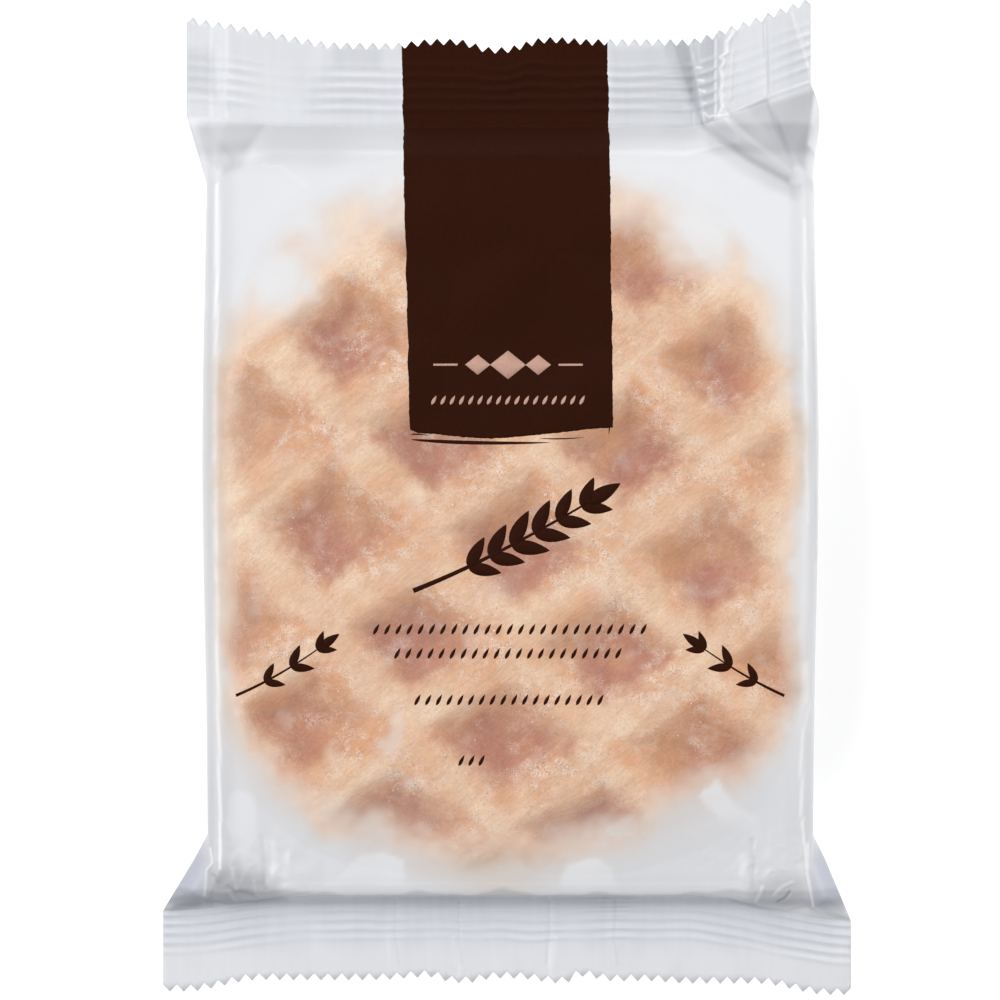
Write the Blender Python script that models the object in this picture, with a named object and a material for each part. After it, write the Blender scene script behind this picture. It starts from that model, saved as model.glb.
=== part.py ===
"""A waffle sealed in a translucent film pack, lying on its back with the shown side up."""
import math

import bmesh
import bpy

# Driving dimensions in millimetres
FILM_ARC = 65.4
SIDE_RADIUS = 3.6
BODY_HALF_WIDTH = 57.3
BODY_BULGE = 1.0
BULGE_MIDDLE = 10.0
BULGE_REACH = 42.0
BODY_SHIFT = 0.45
SEAM_HEIGHT = 8.8
SEAL_THICKNESS = 0.8
FACE_HEIGHT = 17.6
CORNER_DROP = 2.3
PIT_SAG = 1.3
WAFFLE_CENTRE = (0.6, -7.2)
WAFFLE_HALF = (56.0, 65.5)
LATTICE_ORIGIN = (2.7, -6.7)
LATTICE_ACROSS = (17.9, -1.4)
LATTICE_DOWN = (-1.6, -17.8)
FIN_HALF_WIDTH = 5.2
FIN_GROOVE_HALF = 0.7
FIN_GROOVE_DEPTH = 0.45

# End seals: half widths, crimp ribs, plain strips and zigzag teeth
LOW_SEAL_SHIFT = -0.2
HIGH_SEAL_LEFT = 61.2
HIGH_SEAL_RIGHT = 57.2
RIBS = 5
RIB_HEIGHT = 0.4
LOW_RIB_ZONE = 9.0
HIGH_RIB_ZONE = 10.4
HIGH_PLAIN_STRIP = 2.3
HEM = 2.2
TEETH = 50
TOOTH_DEPTH = 1.35

# Lower side: the film flares from the body out to the width of the end seal
FLARE_START = -63.5
FLARE_LENGTH = 15.5
FLARE_POWER = 1.4
FALL_POWER = 1.7
FLAP_BULGE = 1.6
FLAP_BULGE_POWER = 1.8
FLAP_BULGE_COLUMN = 0.90

# Lines across the pack: height or place in the middle, then bends as rise, start and end
LOW_SHOULDER = -72.6
LOW_SHOULDER_BENDS = ((4.0, -38.0, -57.0), (4.0, 38.0, 57.0))
HIGH_SHOULDER = 64.3
HIGH_SHOULDER_BENDS = ((-5.0, -40.0, -57.0), (2.4, 30.0, 39.0), (-7.4, 39.0, 56.0))
SHOULDER_SPAN = 57.0
LOW_INNER = -75.4
LOW_INNER_BENDS = ((-3.0, -34.0, -66.0), (-4.9, 33.0, 66.0))
HIGH_INNER = 70.6
HIGH_INNER_BENDS = ((2.2, -40.0, -61.0),)
HIGH_INNER_SLOPE = 0.36
HIGH_INNER_SLOPE_START = 36.0
LOW_ROOT = -90.2
LOW_ROOT_BENDS = ((-2.3, -47.0, -61.0), (0.5, -24.0, -16.0), (-1.1, -15.0, -10.0), (0.9, -8.0, -2.0),
                  (-0.9, 1.0, 10.0), (1.3, 10.8, 13.5), (-0.9, 14.0, 20.0), (-0.5, 26.0, 34.0),
                  (-2.2, 47.0, 61.0))
HIGH_ROOT = 85.3
HIGH_ROOT_BENDS = ((0.8, -22.0, -14.0), (-1.6, -10.0, -3.0), (1.9, -1.0, 7.4), (-0.4, 9.0, 16.0))
HIGH_ROOT_LEFT_SLOPE = 0.2
HIGH_ROOT_LEFT_START = 34.5
HIGH_ROOT_RIGHT_SLOPE = 0.34
HIGH_ROOT_RIGHT_START = 35.5
LOW_SEAM_BENDS = ((-0.9, -40.0, -65.0), (-0.9, 40.0, 65.0))
LOW_SEAM_WAVE_TURN = 0.13
# The upper seal dips, folds up over itself in a pleat and lifts to the right corner
HIGH_SEAM_BENDS = ((-2.6, -53.0, -57.0), (-1.9, 27.5, 35.2), (1.6, 35.0, 37.3), (3.0, 39.0, 41.3),
                   (-0.9, 41.3, 43.6), (2.6, 43.0, 56.0), (0.5, 47.0, 50.0))
HIGH_SEAM_WAVE_TURN = 0.11
SEAM_WAVE = 0.3

# Film over the waffle: shares of the oval and of a pit's cell where heights change
OVAL_EDGE = (0.84, 1.22)
OVAL_PITS = (0.8, 1.0)
PIT_EDGE = (0.12, 0.48)
FACE_SPAN = 0.97

# Stretches of the film from the lower edge up, with their numbers of rows
STRETCHES = (
    ("low_hem", 2),
    ("low_ribs", 2 * RIBS),
    ("low_end", 4),
    ("face", 20),
    ("high_end", 4),
    ("high_plain", 1),
    ("high_ribs", 2 * RIBS),
    ("high_hem", 2),
)

METRES = 0.001
FLAT = 1e-6
CUT_TOLERANCE = 1e-5
ON_LINE = 1e-4
LEVEL_ANGLE = 0.001
CORNER_ROUNDING = 4.0
FILM_COLOUR = (0.71, 0.71, 0.74)
FILM_ROUGHNESS = 0.35


def ease(value, start, end):
    """Smooth step from 0 at start to 1 at end."""
    ratio = min(1.0, max(0.0, (value - start) / (end - start)))
    return ratio * ratio * (3.0 - 2.0 * ratio)


def mix(first, second, share):
    """Value that lies at share between first and second."""
    return first + (second - first) * share


def ramp(value, start):
    """Distance past start, rounded at the bend."""
    past = value - start
    return 0.5 * (past + math.sqrt(past * past + CORNER_ROUNDING))


def bent(x, base, bends):
    """Line at base that rises softly by each bend's amount from its start to its end."""
    return base + sum(rise * ease(x, start, end) for rise, start, end in bends)


def shoulder_line(share, high):
    """Line where the face turns down to an end seal."""
    if high:
        return bent(SHOULDER_SPAN * share, HIGH_SHOULDER, HIGH_SHOULDER_BENDS)
    return bent(SHOULDER_SPAN * share, LOW_SHOULDER, LOW_SHOULDER_BENDS)


def inner_line(x, high):
    """Line where an end seal begins."""
    if high:
        return bent(x, HIGH_INNER, HIGH_INNER_BENDS) + HIGH_INNER_SLOPE * ramp(x, HIGH_INNER_SLOPE_START)
    return bent(x, LOW_INNER, LOW_INNER_BENDS)


def root_line(x, high):
    """Line of the tooth roots of an end seal."""
    if high:
        left = HIGH_ROOT_LEFT_SLOPE * ramp(-x, HIGH_ROOT_LEFT_START)
        right = HIGH_ROOT_RIGHT_SLOPE * ramp(x, HIGH_ROOT_RIGHT_START)
        return bent(x, HIGH_ROOT, HIGH_ROOT_BENDS) + left + right
    return bent(x, LOW_ROOT, LOW_ROOT_BENDS)


def seam_height(x, high):
    """Height of the middle of an end seal."""
    if high:
        return bent(x, SEAM_HEIGHT, HIGH_SEAM_BENDS) + SEAM_WAVE * math.sin(x * HIGH_SEAM_WAVE_TURN)
    return bent(x, SEAM_HEIGHT, LOW_SEAM_BENDS) + SEAM_WAVE * math.sin(x * LOW_SEAM_WAVE_TURN)


def seal_x(share, high):
    """Place across the pack of a film column in an end seal."""
    if not high:
        return share * FILM_ARC + LOW_SEAL_SHIFT
    return share * (HIGH_SEAL_LEFT if share < 0.0 else HIGH_SEAL_RIGHT)


def pit_share(x, y):
    """1 in the middle of a waffle pit, 0 on the ridges between the pits."""
    dx = x - LATTICE_ORIGIN[0]
    dy = y - LATTICE_ORIGIN[1]
    det = LATTICE_ACROSS[0] * LATTICE_DOWN[1] - LATTICE_ACROSS[1] * LATTICE_DOWN[0]
    across = (dx * LATTICE_DOWN[1] - dy * LATTICE_DOWN[0]) / det
    down = (LATTICE_ACROSS[0] * dy - LATTICE_ACROSS[1] * dx) / det
    first = 0.5 * (across + down)
    second = 0.5 * (across - down)
    reach = max(abs(first - round(first)), abs(second - round(second)))
    return 1.0 - ease(reach, *PIT_EDGE)


def face_height(x, y):
    """Height of the film over the waffle and over the empty corners."""
    from_middle = math.hypot((x - WAFFLE_CENTRE[0]) / WAFFLE_HALF[0], (y - WAFFLE_CENTRE[1]) / WAFFLE_HALF[1])
    drop = CORNER_DROP * ease(from_middle, *OVAL_EDGE)
    sag = PIT_SAG * pit_share(x, y) * (1.0 - ease(from_middle, *OVAL_PITS))
    return FACE_HEIGHT - drop - sag


def section(share, y, side):
    """Point of the body's cross-section on the upper (side 1) or lower (side -1) film."""
    half = BODY_HALF_WIDTH + BODY_BULGE * math.exp(-((y - BULGE_MIDDLE) / BULGE_REACH) ** 2)
    flat = half - SIDE_RADIUS
    top = face_height(FACE_SPAN * half * share, y) if side > 0 else 0.0
    wall = abs(top - SEAM_HEIGHT) - SIDE_RADIUS - 0.5 * SEAL_THICKNESS
    arc = 0.5 * math.pi * SIDE_RADIUS
    path = abs(share) * (flat + arc + wall)
    x = path
    drop = 0.0
    low = 0.0
    if path > flat + arc:
        x = half
        drop = SIDE_RADIUS + path - flat - arc
        low = (path - flat - arc) / wall
    elif path > flat:
        angle = (path - flat) / SIDE_RADIUS
        x = flat + SIDE_RADIUS * math.sin(angle)
        drop = SIDE_RADIUS * (1.0 - math.cos(angle))
    x = math.copysign(x, share)
    if side > 0:
        top = face_height(x, y)
    rim = SEAM_HEIGHT + side * 0.5 * SEAL_THICKNESS
    z = mix(top, rim, drop / (SIDE_RADIUS + wall))
    flare = min(1.0, max(0.0, (FLARE_START - y) / FLARE_LENGTH)) * low ** FLARE_POWER
    edge = math.copysign(FILM_ARC, share)
    return mix(x, edge, flare) + BODY_SHIFT * (1.0 - flare), z


def face_point(share, step, side):
    """Point of the body between its two shoulders."""
    y = mix(shoulder_line(share, False), shoulder_line(share, True), step)
    x, z = section(share, y, side)
    return x, y, z


def end_point(share, high, fall, side):
    """Point of the slope between the body (fall 0) and an end seal (fall 1)."""
    x_seal = seal_x(share, high)
    seam = seam_height(x_seal, high) + side * 0.5 * SEAL_THICKNESS
    body_y = shoulder_line(share, high)
    x_body, z_body = section(share, body_y, side)
    x = mix(x_body, x_seal, fall)
    keep = 1.0 - fall ** FALL_POWER
    if high:
        x += FLAP_BULGE * ease(share, FLAP_BULGE_COLUMN, 1.0) * math.sin(math.pi * fall ** FLAP_BULGE_POWER)
    else:
        keep = math.sqrt(max(0.0, keep))
    return x, mix(body_y, inner_line(x_seal, high), fall), mix(seam, z_body, keep)


def seal_point(share, stretch, out, side):
    """Point of an end seal; out runs from 0 to 1 away from the body."""
    high = stretch.startswith("high")
    x = seal_x(share, high)
    z = seam_height(x, high) + side * 0.5 * SEAL_THICKNESS
    inner = inner_line(x, high)
    width = abs(root_line(x, high) - inner)
    plain = HIGH_PLAIN_STRIP if high else 0.0
    ribbed = min(HIGH_RIB_ZONE if high else LOW_RIB_ZONE, width - plain - HEM)
    if stretch.endswith("plain"):
        gone = plain * out
    elif stretch.endswith("ribs"):
        gone = plain + ribbed * out
        z += RIB_HEIGHT * math.sin(RIBS * math.pi * out) ** 2
    else:
        gone = mix(plain + ribbed, width, out)
    return x, inner + math.copysign(gone, inner), z


def row_place(row):
    """Stretch of the film and the share of it that a row has passed, counted from the lower edge."""
    first = 0
    for stretch, count in STRETCHES:
        if row < first + count:
            return stretch, (row - first) / count
        first += count
    return STRETCHES[-1][0], 1.0


def film_point(share, row, side):
    """Point of the upper or lower film for a column from -1 to 1 and a row."""
    stretch, step = row_place(row)
    if stretch == "face":
        return face_point(share, step, side)
    high = stretch.startswith("high")
    out = step if high else 1.0 - step
    if stretch.endswith("end"):
        return end_point(share, high, out, side)
    return seal_point(share, stretch, out, side)


def make_film():
    """Two films of the same grid, joined round the edge into one closed body."""
    rows = sum(count for _, count in STRETCHES)
    mesh = bmesh.new()
    bmesh.ops.create_grid(mesh, x_segments=TEETH, y_segments=rows, size=1.0)
    sheet = bmesh.ops.extrude_face_region(mesh, geom=list(mesh.faces), use_keep_orig=True)
    upper = [item for item in sheet["geom"] if isinstance(item, bmesh.types.BMVert)]
    bmesh.ops.translate(mesh, verts=upper, vec=(0.0, 0.0, 1.0))
    ends = [e for e in mesh.edges if all(abs(v.co.y) > 1.0 - FLAT for v in e.verts)]
    ends = [e for e in ends if abs(e.verts[0].co.x - e.verts[1].co.x) > FLAT]
    teeth = bmesh.ops.subdivide_edges(mesh, edges=ends, cuts=1)
    tips = [item for item in teeth["geom_inner"] if isinstance(item, bmesh.types.BMVert)]
    bmesh.ops.connect_verts(mesh, verts=tips)
    for vert in tips:
        vert.tag = True
    for vert in mesh.verts:
        row = round((vert.co.y + 1.0) * 0.5 * rows)
        x, y, z = film_point(vert.co.x, row, 1 if vert.co.z > 0.5 else -1)
        if vert.tag:
            y += TOOTH_DEPTH if row else -TOOTH_DEPTH
        vert.co = (x, y, z)
        vert.tag = False
    return mesh


def flat_back(mesh):
    """Faces of the flat back with their edges and vertices, in a fixed order."""
    faces = [f for f in mesh.faces if all(abs(v.co.z) < FLAT for v in f.verts)]
    inside = set(faces)
    edges = [e for e in mesh.edges if inside.intersection(e.link_faces)]
    verts = [v for v in mesh.verts if inside.intersection(v.link_faces)]
    return faces, edges, verts


def groove_back(mesh):
    """Press the two edges of the long seam into the flat back."""
    for offset in (-FIN_HALF_WIDTH, FIN_HALF_WIDTH):
        for shift in (-FIN_GROOVE_HALF, 0.0, FIN_GROOVE_HALF):
            faces, edges, verts = flat_back(mesh)
            plane = (offset + shift, 0.0, 0.0)
            geom = faces + edges + verts
            bmesh.ops.bisect_plane(mesh, geom=geom, dist=CUT_TOLERANCE, plane_co=plane, plane_no=(1.0, 0.0, 0.0))
        pressed = []
        for vert in mesh.verts:
            on_line = abs(vert.co.z) < FLAT and abs(vert.co.x - offset) < ON_LINE
            if on_line and all(abs(e.other_vert(vert).co.z) < FLAT for e in vert.link_edges):
                pressed.append(vert)
        for vert in pressed:
            vert.co.z = FIN_GROOVE_DEPTH


def settle(mesh):
    """Put the middle of the underside of the bounding box at the origin, in metres."""
    low = [min(v.co[axis] for v in mesh.verts) for axis in range(3)]
    high = [max(v.co[axis] for v in mesh.verts) for axis in range(3)]
    shift = (-0.5 * (low[0] + high[0]), -0.5 * (low[1] + high[1]), -low[2])
    bmesh.ops.translate(mesh, verts=list(mesh.verts), vec=shift)
    bmesh.ops.scale(mesh, verts=list(mesh.verts), vec=(METRES, METRES, METRES))


def make_material(name, colour, roughness):
    """Plain material of one colour."""
    material = bpy.data.materials.new(name)
    material.use_nodes = True
    shader = material.node_tree.nodes["Principled BSDF"]
    shader.inputs["Base Color"].default_value = (*colour, 1.0)
    shader.inputs["Roughness"].default_value = roughness
    return material


def main():
    """Build the pack as one closed solid."""
    for item in list(bpy.data.objects):
        bpy.data.objects.remove(item, do_unlink=True)
    mesh = make_film()
    groove_back(mesh)
    _, edges, verts = flat_back(mesh)
    bmesh.ops.dissolve_limit(mesh, angle_limit=LEVEL_ANGLE, verts=verts, edges=edges)
    settle(mesh)
    bmesh.ops.triangulate(mesh, faces=list(mesh.faces))
    bmesh.ops.recalc_face_normals(mesh, faces=list(mesh.faces))
    data = bpy.data.meshes.new("waffle_pack")
    mesh.to_mesh(data)
    mesh.free()
    for polygon in data.polygons:
        polygon.use_smooth = True
    data.materials.append(make_material("translucent_film", FILM_COLOUR, FILM_ROUGHNESS))
    pack = bpy.data.objects.new("waffle_pack", data)
    bpy.context.scene.collection.objects.link(pack)


main()
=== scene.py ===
"""Looks of a belgian waffle sealed in a translucent film pack, lying on its back."""

import logging
import math
import random
from dataclasses import dataclass, field
from enum import Enum
from functools import cached_property
from typing import Callable, ClassVar

import bmesh
import bpy
from mathutils import Euler, Matrix, Vector, noise
from mathutils.bvhtree import BVHTree


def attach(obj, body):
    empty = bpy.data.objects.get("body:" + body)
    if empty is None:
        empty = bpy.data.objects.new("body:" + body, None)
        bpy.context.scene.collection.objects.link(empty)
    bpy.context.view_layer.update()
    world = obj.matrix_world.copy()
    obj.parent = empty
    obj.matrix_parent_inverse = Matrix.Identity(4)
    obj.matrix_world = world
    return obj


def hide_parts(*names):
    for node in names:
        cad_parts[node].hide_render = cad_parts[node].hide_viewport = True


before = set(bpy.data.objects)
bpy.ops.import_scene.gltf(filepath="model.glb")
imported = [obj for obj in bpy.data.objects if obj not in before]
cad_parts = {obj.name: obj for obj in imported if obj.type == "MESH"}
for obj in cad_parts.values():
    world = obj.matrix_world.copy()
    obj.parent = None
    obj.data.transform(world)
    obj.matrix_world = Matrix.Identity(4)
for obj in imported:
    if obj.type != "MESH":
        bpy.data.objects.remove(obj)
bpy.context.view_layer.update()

LOG = logging.getLogger("wrapped_waffle")
MM = 0.001
# Pixel of the photograph's frame at the pack's first origin, and the real size of a pixel
PHOTO_MIDDLE = (508.0, 498.5)
MM_PER_PIXEL = 0.19
RAMP_ROUNDING = 2.0
Point = tuple[float, float]
Triple = tuple[float, float, float]
Path = Callable[[float], Point]
Socket = bpy.types.NodeSocket


def ease(value: float, start: float, end: float) -> float:
    """Return a smooth step from 0 at start to 1 at end."""
    ratio = within((value - start) / (end - start))
    return ratio * ratio * (3.0 - 2.0 * ratio)


def mix(first: float, second: float, share: float) -> float:
    """Return the value that lies at share between first and second."""
    return first + (second - first) * share


def ramp(value: float, start: float) -> float:
    """Return the distance past start, rounded at the bend."""
    past = value - start
    return 0.5 * (past + math.hypot(past, RAMP_ROUNDING))


def bump_at(value: float, middle: float, reach: float) -> float:
    """Return a soft bump of height 1 at middle that ends at reach."""
    return 1.0 - ease(abs(value - middle), 0.0, reach)


def within(value: float, least: float = 0.0, most: float = 1.0) -> float:
    """Return a value kept between two limits."""
    return min(most, max(least, value))


def rough(x: float, y: float, size: float, seed: float = 0.0) -> float:
    """Return smooth noise from about -1 to 1 with lumps of the given size in millimetres."""
    return noise.noise(Vector((x / size, y / size, seed)))


def spot(px: float, py: float) -> Point:
    """Return the place in millimetres of a point of the photograph's frame.

    Args:
        px: Pixels from the left.
        py: Pixels from the top.

    Returns:
        Millimetres across and along the pack, before the pack is centred.
    """
    return (px - PHOTO_MIDDLE[0]) * MM_PER_PIXEL, (PHOTO_MIDDLE[1] - py) * MM_PER_PIXEL


def pixel(x: float, y: float) -> Point:
    """Return the point of the photograph's frame, in pixels, of a place in millimetres."""
    return PHOTO_MIDDLE[0] + x / MM_PER_PIXEL, PHOTO_MIDDLE[1] - y / MM_PER_PIXEL


def apart(px: float, py: float, start: Point, end: Point) -> float:
    """Return the distance of a place from a straight stretch.

    Args:
        px: Place across.
        py: Place along.
        start: The stretch's first end.
        end: Its other end.

    Returns:
        The shortest distance, in the unit of the arguments.
    """
    dx, dy = end[0] - start[0], end[1] - start[1]
    share = within(((px - start[0]) * dx + (py - start[1]) * dy) / (dx * dx + dy * dy))
    return math.hypot(px - start[0] - share * dx, py - start[1] - share * dy)


def inside_by(outline: tuple[Point, ...], px: float, py: float) -> float:
    """Return how far a place lies inside a closed outline; below 0 it is outside.

    Args:
        outline: Corners in order, in pixels of the photograph's frame.
        px: Pixels from the left.
        py: Pixels from the top.

    Returns:
        Pixels to the nearest stretch of the outline.
    """
    nearest, inside = math.inf, False
    for start, end in zip(outline, outline[1:] + outline[:1]):
        nearest = min(nearest, apart(px, py, start, end))
        if (start[1] > py) != (end[1] > py):
            crossing = start[0] + (py - start[1]) * (end[0] - start[0]) / (end[1] - start[1])
            inside = inside != (px < crossing)
    return nearest if inside else -nearest


def linear(colour: str) -> tuple[float, float, float, float]:
    """Turn an sRGB hex colour into linear light.

    Args:
        colour: Six hex digits after a hash sign.

    Returns:
        Red, green, blue and an alpha of 1.
    """
    parts = [int(colour[i:i + 2], 16) / 255.0 for i in (1, 3, 5)]
    light = [c / 12.92 if c <= 0.04045 else ((c + 0.055) / 1.055) ** 2.4 for c in parts]
    return light[0], light[1], light[2], 1.0


def tint(colour: str) -> Vector:
    """Turn an sRGB hex colour into linear light without an alpha."""
    return Vector(linear(colour)[:3])


def plug(tree: bpy.types.NodeTree, node: bpy.types.Node, inputs: dict) -> None:
    """Feed a node.

    Args:
        tree: Its node tree.
        node: The node.
        inputs: Socket name or number to a value or to the output socket that feeds it.
    """
    for name, value in inputs.items():
        if isinstance(value, Socket):
            tree.links.new(value, node.inputs[name])
        else:
            node.inputs[name].default_value = value


def add_node(tree: bpy.types.NodeTree, kind: str, settings: dict | None = None,
             inputs: dict | None = None) -> bpy.types.Node:
    """Add a node with its settings and links.

    Args:
        tree: The node tree that it joins.
        kind: The node's type name without its ShaderNode prefix.
        settings: Attributes of the node.
        inputs: What feeds it, as plug takes it.

    Returns:
        The new node.
    """
    node = tree.nodes.new("ShaderNode" + kind)
    for name, value in (settings or {}).items():
        setattr(node, name, value)
    plug(tree, node, inputs or {})
    return node


def new_material(name: str) -> tuple[bpy.types.Material, bpy.types.NodeTree, bpy.types.Node]:
    """Make a material with a Principled shader.

    Args:
        name: The material's name.

    Returns:
        The material, its node tree and the shader node.
    """
    material = bpy.data.materials.new(name)
    material.use_nodes = True
    tree = material.node_tree
    return material, tree, tree.nodes["Principled BSDF"]


@dataclass
class Nodes:
    """Short ways to add the nodes of one material, each of which returns its output socket."""

    tree: bpy.types.NodeTree

    @cached_property
    def place(self) -> Socket:
        """Return the object coordinates, in metres."""
        return add_node(self.tree, "TexCoord").outputs["Object"]

    def attribute(self, name: str, output: str = "Fac") -> Socket:
        """Add an attribute of the mesh."""
        return add_node(self.tree, "Attribute", {"attribute_name": name}).outputs[output]

    def lumps(self, per_metre: float, detail: float, place: Socket | None = None) -> Socket:
        """Add noise with so many lumps to a metre."""
        inputs = {"Vector": place or self.place, "Scale": per_metre, "Detail": detail}
        return add_node(self.tree, "TexNoise", inputs=inputs).outputs[0]

    def calc(self, operation: str, *values: float | Socket, clamp: bool = False) -> Socket:
        """Add a calculation with up to three values."""
        settings = {"operation": operation, "use_clamp": clamp}
        return add_node(self.tree, "Math", settings, dict(enumerate(values))).outputs[0]

    def spread(self, value: Socket, start: float, end: float, high: float = 1.0,
               low: float = 0.0) -> Socket:
        """Add a slope from low at start to high at end, level beyond both."""
        inputs = {"Value": value, 1: start, 2: end, 3: low, 4: high}
        return add_node(self.tree, "MapRange", inputs=inputs).outputs[0]

    def blend(self, share: float | Socket, first: str | Socket, second: str | Socket) -> Socket:
        """Add a blend of two colours, which are hex strings or sockets."""
        first, second = (linear(end) if isinstance(end, str) else end for end in (first, second))
        return add_node(self.tree, "Mix", {"data_type": "RGBA"}, {0: share, 6: first, 7: second}).outputs[2]

    def bump(self, height: Socket, strength: float, depth_mm: float) -> Socket:
        """Add a bump of the given depth."""
        inputs = {"Height": height, "Strength": strength, "Distance": depth_mm * MM}
        return add_node(self.tree, "Bump", inputs=inputs).outputs[0]


@dataclass(frozen=True)
class Course:
    """A value along a line: a base with soft bends (rise, start, end) and slopes (rise per mm, start)."""

    base: float
    bends: tuple[Triple, ...] = ()
    slopes: tuple[Point, ...] = ()

    def at(self, x: float) -> float:
        """Return the value at x; a slope that starts below 0 runs the other way.

        Args:
            x: The place along the line.

        Returns:
            The value there.
        """
        bends = sum(rise * ease(x, start, end) for rise, start, end in self.bends)
        slopes = sum(rise * ramp(x * math.copysign(1.0, start), abs(start)) for rise, start in self.slopes)
        return self.base + bends + slopes


@dataclass(frozen=True)
class Band:
    """A soft-edged band: its strength, the stretch where it comes and the one where it goes again."""

    strength: float
    start: Point
    end: Point | None = None

    def at(self, value: float) -> float:
        """Return how strong it is at a value."""
        gone = ease(value, *self.end) if self.end else 0.0
        return self.strength * ease(value, *self.start) * (1.0 - gone)


@dataclass(frozen=True)
class Patch:
    """A soft oval patch of film, in pixels of the photograph's frame."""

    middle: Point
    reach: Point
    share: float
    fade: ClassVar[float] = 1.3

    def at(self, px: float, py: float, stir: float = 0.0) -> float:
        """Return its share at a place; stir makes its edge uneven."""
        away = math.hypot((px - self.middle[0]) / self.reach[0], (py - self.middle[1]) / self.reach[1])
        return self.share * (1.0 - ease(away + stir, 0.0, self.fade))


def new_object(name: str, data: bpy.types.ID) -> bpy.types.Object:
    """Put an object with the given data into the scene.

    Args:
        name: The object's name.
        data: Its mesh, light or camera.

    Returns:
        The object.
    """
    item = bpy.data.objects.new(name, data)
    bpy.context.scene.collection.objects.link(item)
    return item


class Region(Enum):
    """Stretches of the film along its length, with the number of coarse mesh rows of each."""

    LOW_HEM = 4
    LOW_RIBS = 16
    LOW_END = 8
    FACE = 70
    HIGH_END = 11
    HIGH_RIBS = 18
    HIGH_HEM = 5


class Side(Enum):
    """The two films of the pack."""

    FRONT = 1
    BACK = -1


@dataclass
class PackShape:
    """The pack's form in millimetres, with the same driving sizes as the solid."""

    film_arc: float = 65.4
    low_seal_shift: float = -0.2
    high_seal_half: Point = (61.2, 57.2)
    shoulder_half: float = 57.0
    side_radius: float = 3.6
    half_width: float = 57.3
    bulge: float = 1.0
    bulge_middle: float = 10.0
    bulge_reach: float = 42.0
    body_shift: float = 0.45
    box_shift: float = 0.2
    flare_start: float = -63.5
    flare_length: float = 15.5
    seam_height: float = 8.8
    seam_wave: float = 0.3
    seam_wave_rates: Point = (0.13, 0.11)
    seal_thickness: float = 0.36
    low_seam: Course = Course(0.0, ((-0.9, -40.0, -65.0), (-0.9, 40.0, 65.0)))
    high_seam: Course = Course(0.0, (
        (-2.6, -53.0, -57.0), (-1.9, 27.5, 35.2), (1.6, 35.2, 36.4), (3.0, 39.2, 41.0),
        (-0.9, 41.0, 43.5), (2.6, 43.0, 56.0), (0.5, 48.6, 49.4),
    ))
    crease_places: tuple[float, ...] = (-21.3, -9.3, 8.0, 20.3)
    crease_height: float = 0.12
    crease_reach: float = 6.0
    crease_steepness: float = 3.0
    face_top: float = 17.6
    corner_drop: float = 2.3
    pit_sag: float = 1.3
    tooth_depth: float = 1.35
    teeth: int = 50
    rib_height: float = 0.55
    rib_count: int = 5
    rib_zones: tuple[Point, Point] = ((0.0, 9.0), (2.3, 10.4))
    least_hem: float = 2.2
    waffle_middle: Point = (0.6, -7.2)
    waffle_half: Point = (56.0, 65.5)
    lattice_origin: Point = (2.7, -6.7)
    lattice_across: Point = (17.9, -1.4)
    lattice_down: Point = (-1.6, -17.8)
    fin_half_width: float = 5.2
    fin_pitch: float = 2.2
    # Lines across the pack, from the lower cut up
    low_root: Course = Course(-90.2, (
        (-2.3, -47.0, -61.0), (0.5, -24.0, -16.0), (-1.1, -15.0, -10.0), (0.9, -8.0, -2.0),
        (-0.9, 1.0, 10.0), (1.3, 10.8, 13.5), (-0.9, 14.0, 20.0), (-0.5, 26.0, 34.0), (-2.2, 47.0, 61.0),
    ))
    low_inner: Course = Course(-75.4, ((-3.0, -34.0, -66.0), (-4.9, 33.0, 66.0)))
    low_shoulder: Course = Course(-72.6, ((4.0, -38.0, -57.0), (4.0, 38.0, 57.0)))
    high_shoulder: Course = Course(64.3, ((-5.0, -40.0, -57.0), (2.4, 30.0, 39.0), (-7.4, 39.0, 56.0)))
    high_inner: Course = Course(70.6, ((2.2, -40.0, -61.0),), ((0.36, 36.0),))
    high_root: Course = Course(85.3, (
        (0.8, -22.0, -14.0), (-1.6, -10.0, -3.0), (1.9, -1.0, 7.4), (-0.4, 9.0, 16.0),
    ), ((0.2, -34.5), (0.34, 35.5)))
    # Rim of the film that lies on the waffle, in pixels of the photograph's frame
    touch_outline: tuple[Point, ...] = (
        (220, 372), (235, 346), (290, 324), (316, 297), (328, 270), (350, 250), (372, 238), (398, 226),
        (508, 205), (620, 212), (642, 218), (658, 234), (674, 250), (712, 264), (735, 283), (752, 296),
        (766, 330), (783, 370), (777, 395), (792, 420), (794, 470), (783, 530), (780, 595), (793, 660),
        (790, 695), (757, 745), (722, 769), (684, 790), (632, 822), (548, 848), (516, 857), (476, 857),
        (438, 848), (400, 836), (335, 811), (288, 778), (255, 746), (235, 722), (229, 670), (225, 560),
        (220, 440),
    )
    shift: Point = field(init=False)

    def __post_init__(self) -> None:
        """Work out how far the pack moves so that its box is centred on the origin."""
        shares = [-1.0 + (i + 0.5) * 2.0 / self.teeth for i in range(self.teeth)]
        low = min(self.low_root.at(self.seal_x(share, False)) for share in shares) - self.tooth_depth
        high = max(self.high_root.at(self.seal_x(share, True)) for share in shares) + self.tooth_depth
        self.shift = (self.box_shift, -0.5 * (low + high))

    def lattice(self, x: float, y: float) -> Point:
        """Return the place on the waffle's grid, where pits sit at whole numbers.

        Args:
            x: The place across the pack in mm.
            y: The place along the pack in mm.

        Returns:
            The place in steps of the grid.
        """
        dx = x - self.lattice_origin[0]
        dy = y - self.lattice_origin[1]
        across, down = self.lattice_across, self.lattice_down
        det = across[0] * down[1] - across[1] * down[0]
        along = (dx * down[1] - dy * down[0]) / det
        below = (across[0] * dy - across[1] * dx) / det
        return 0.5 * (along + below), 0.5 * (along - below)

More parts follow.
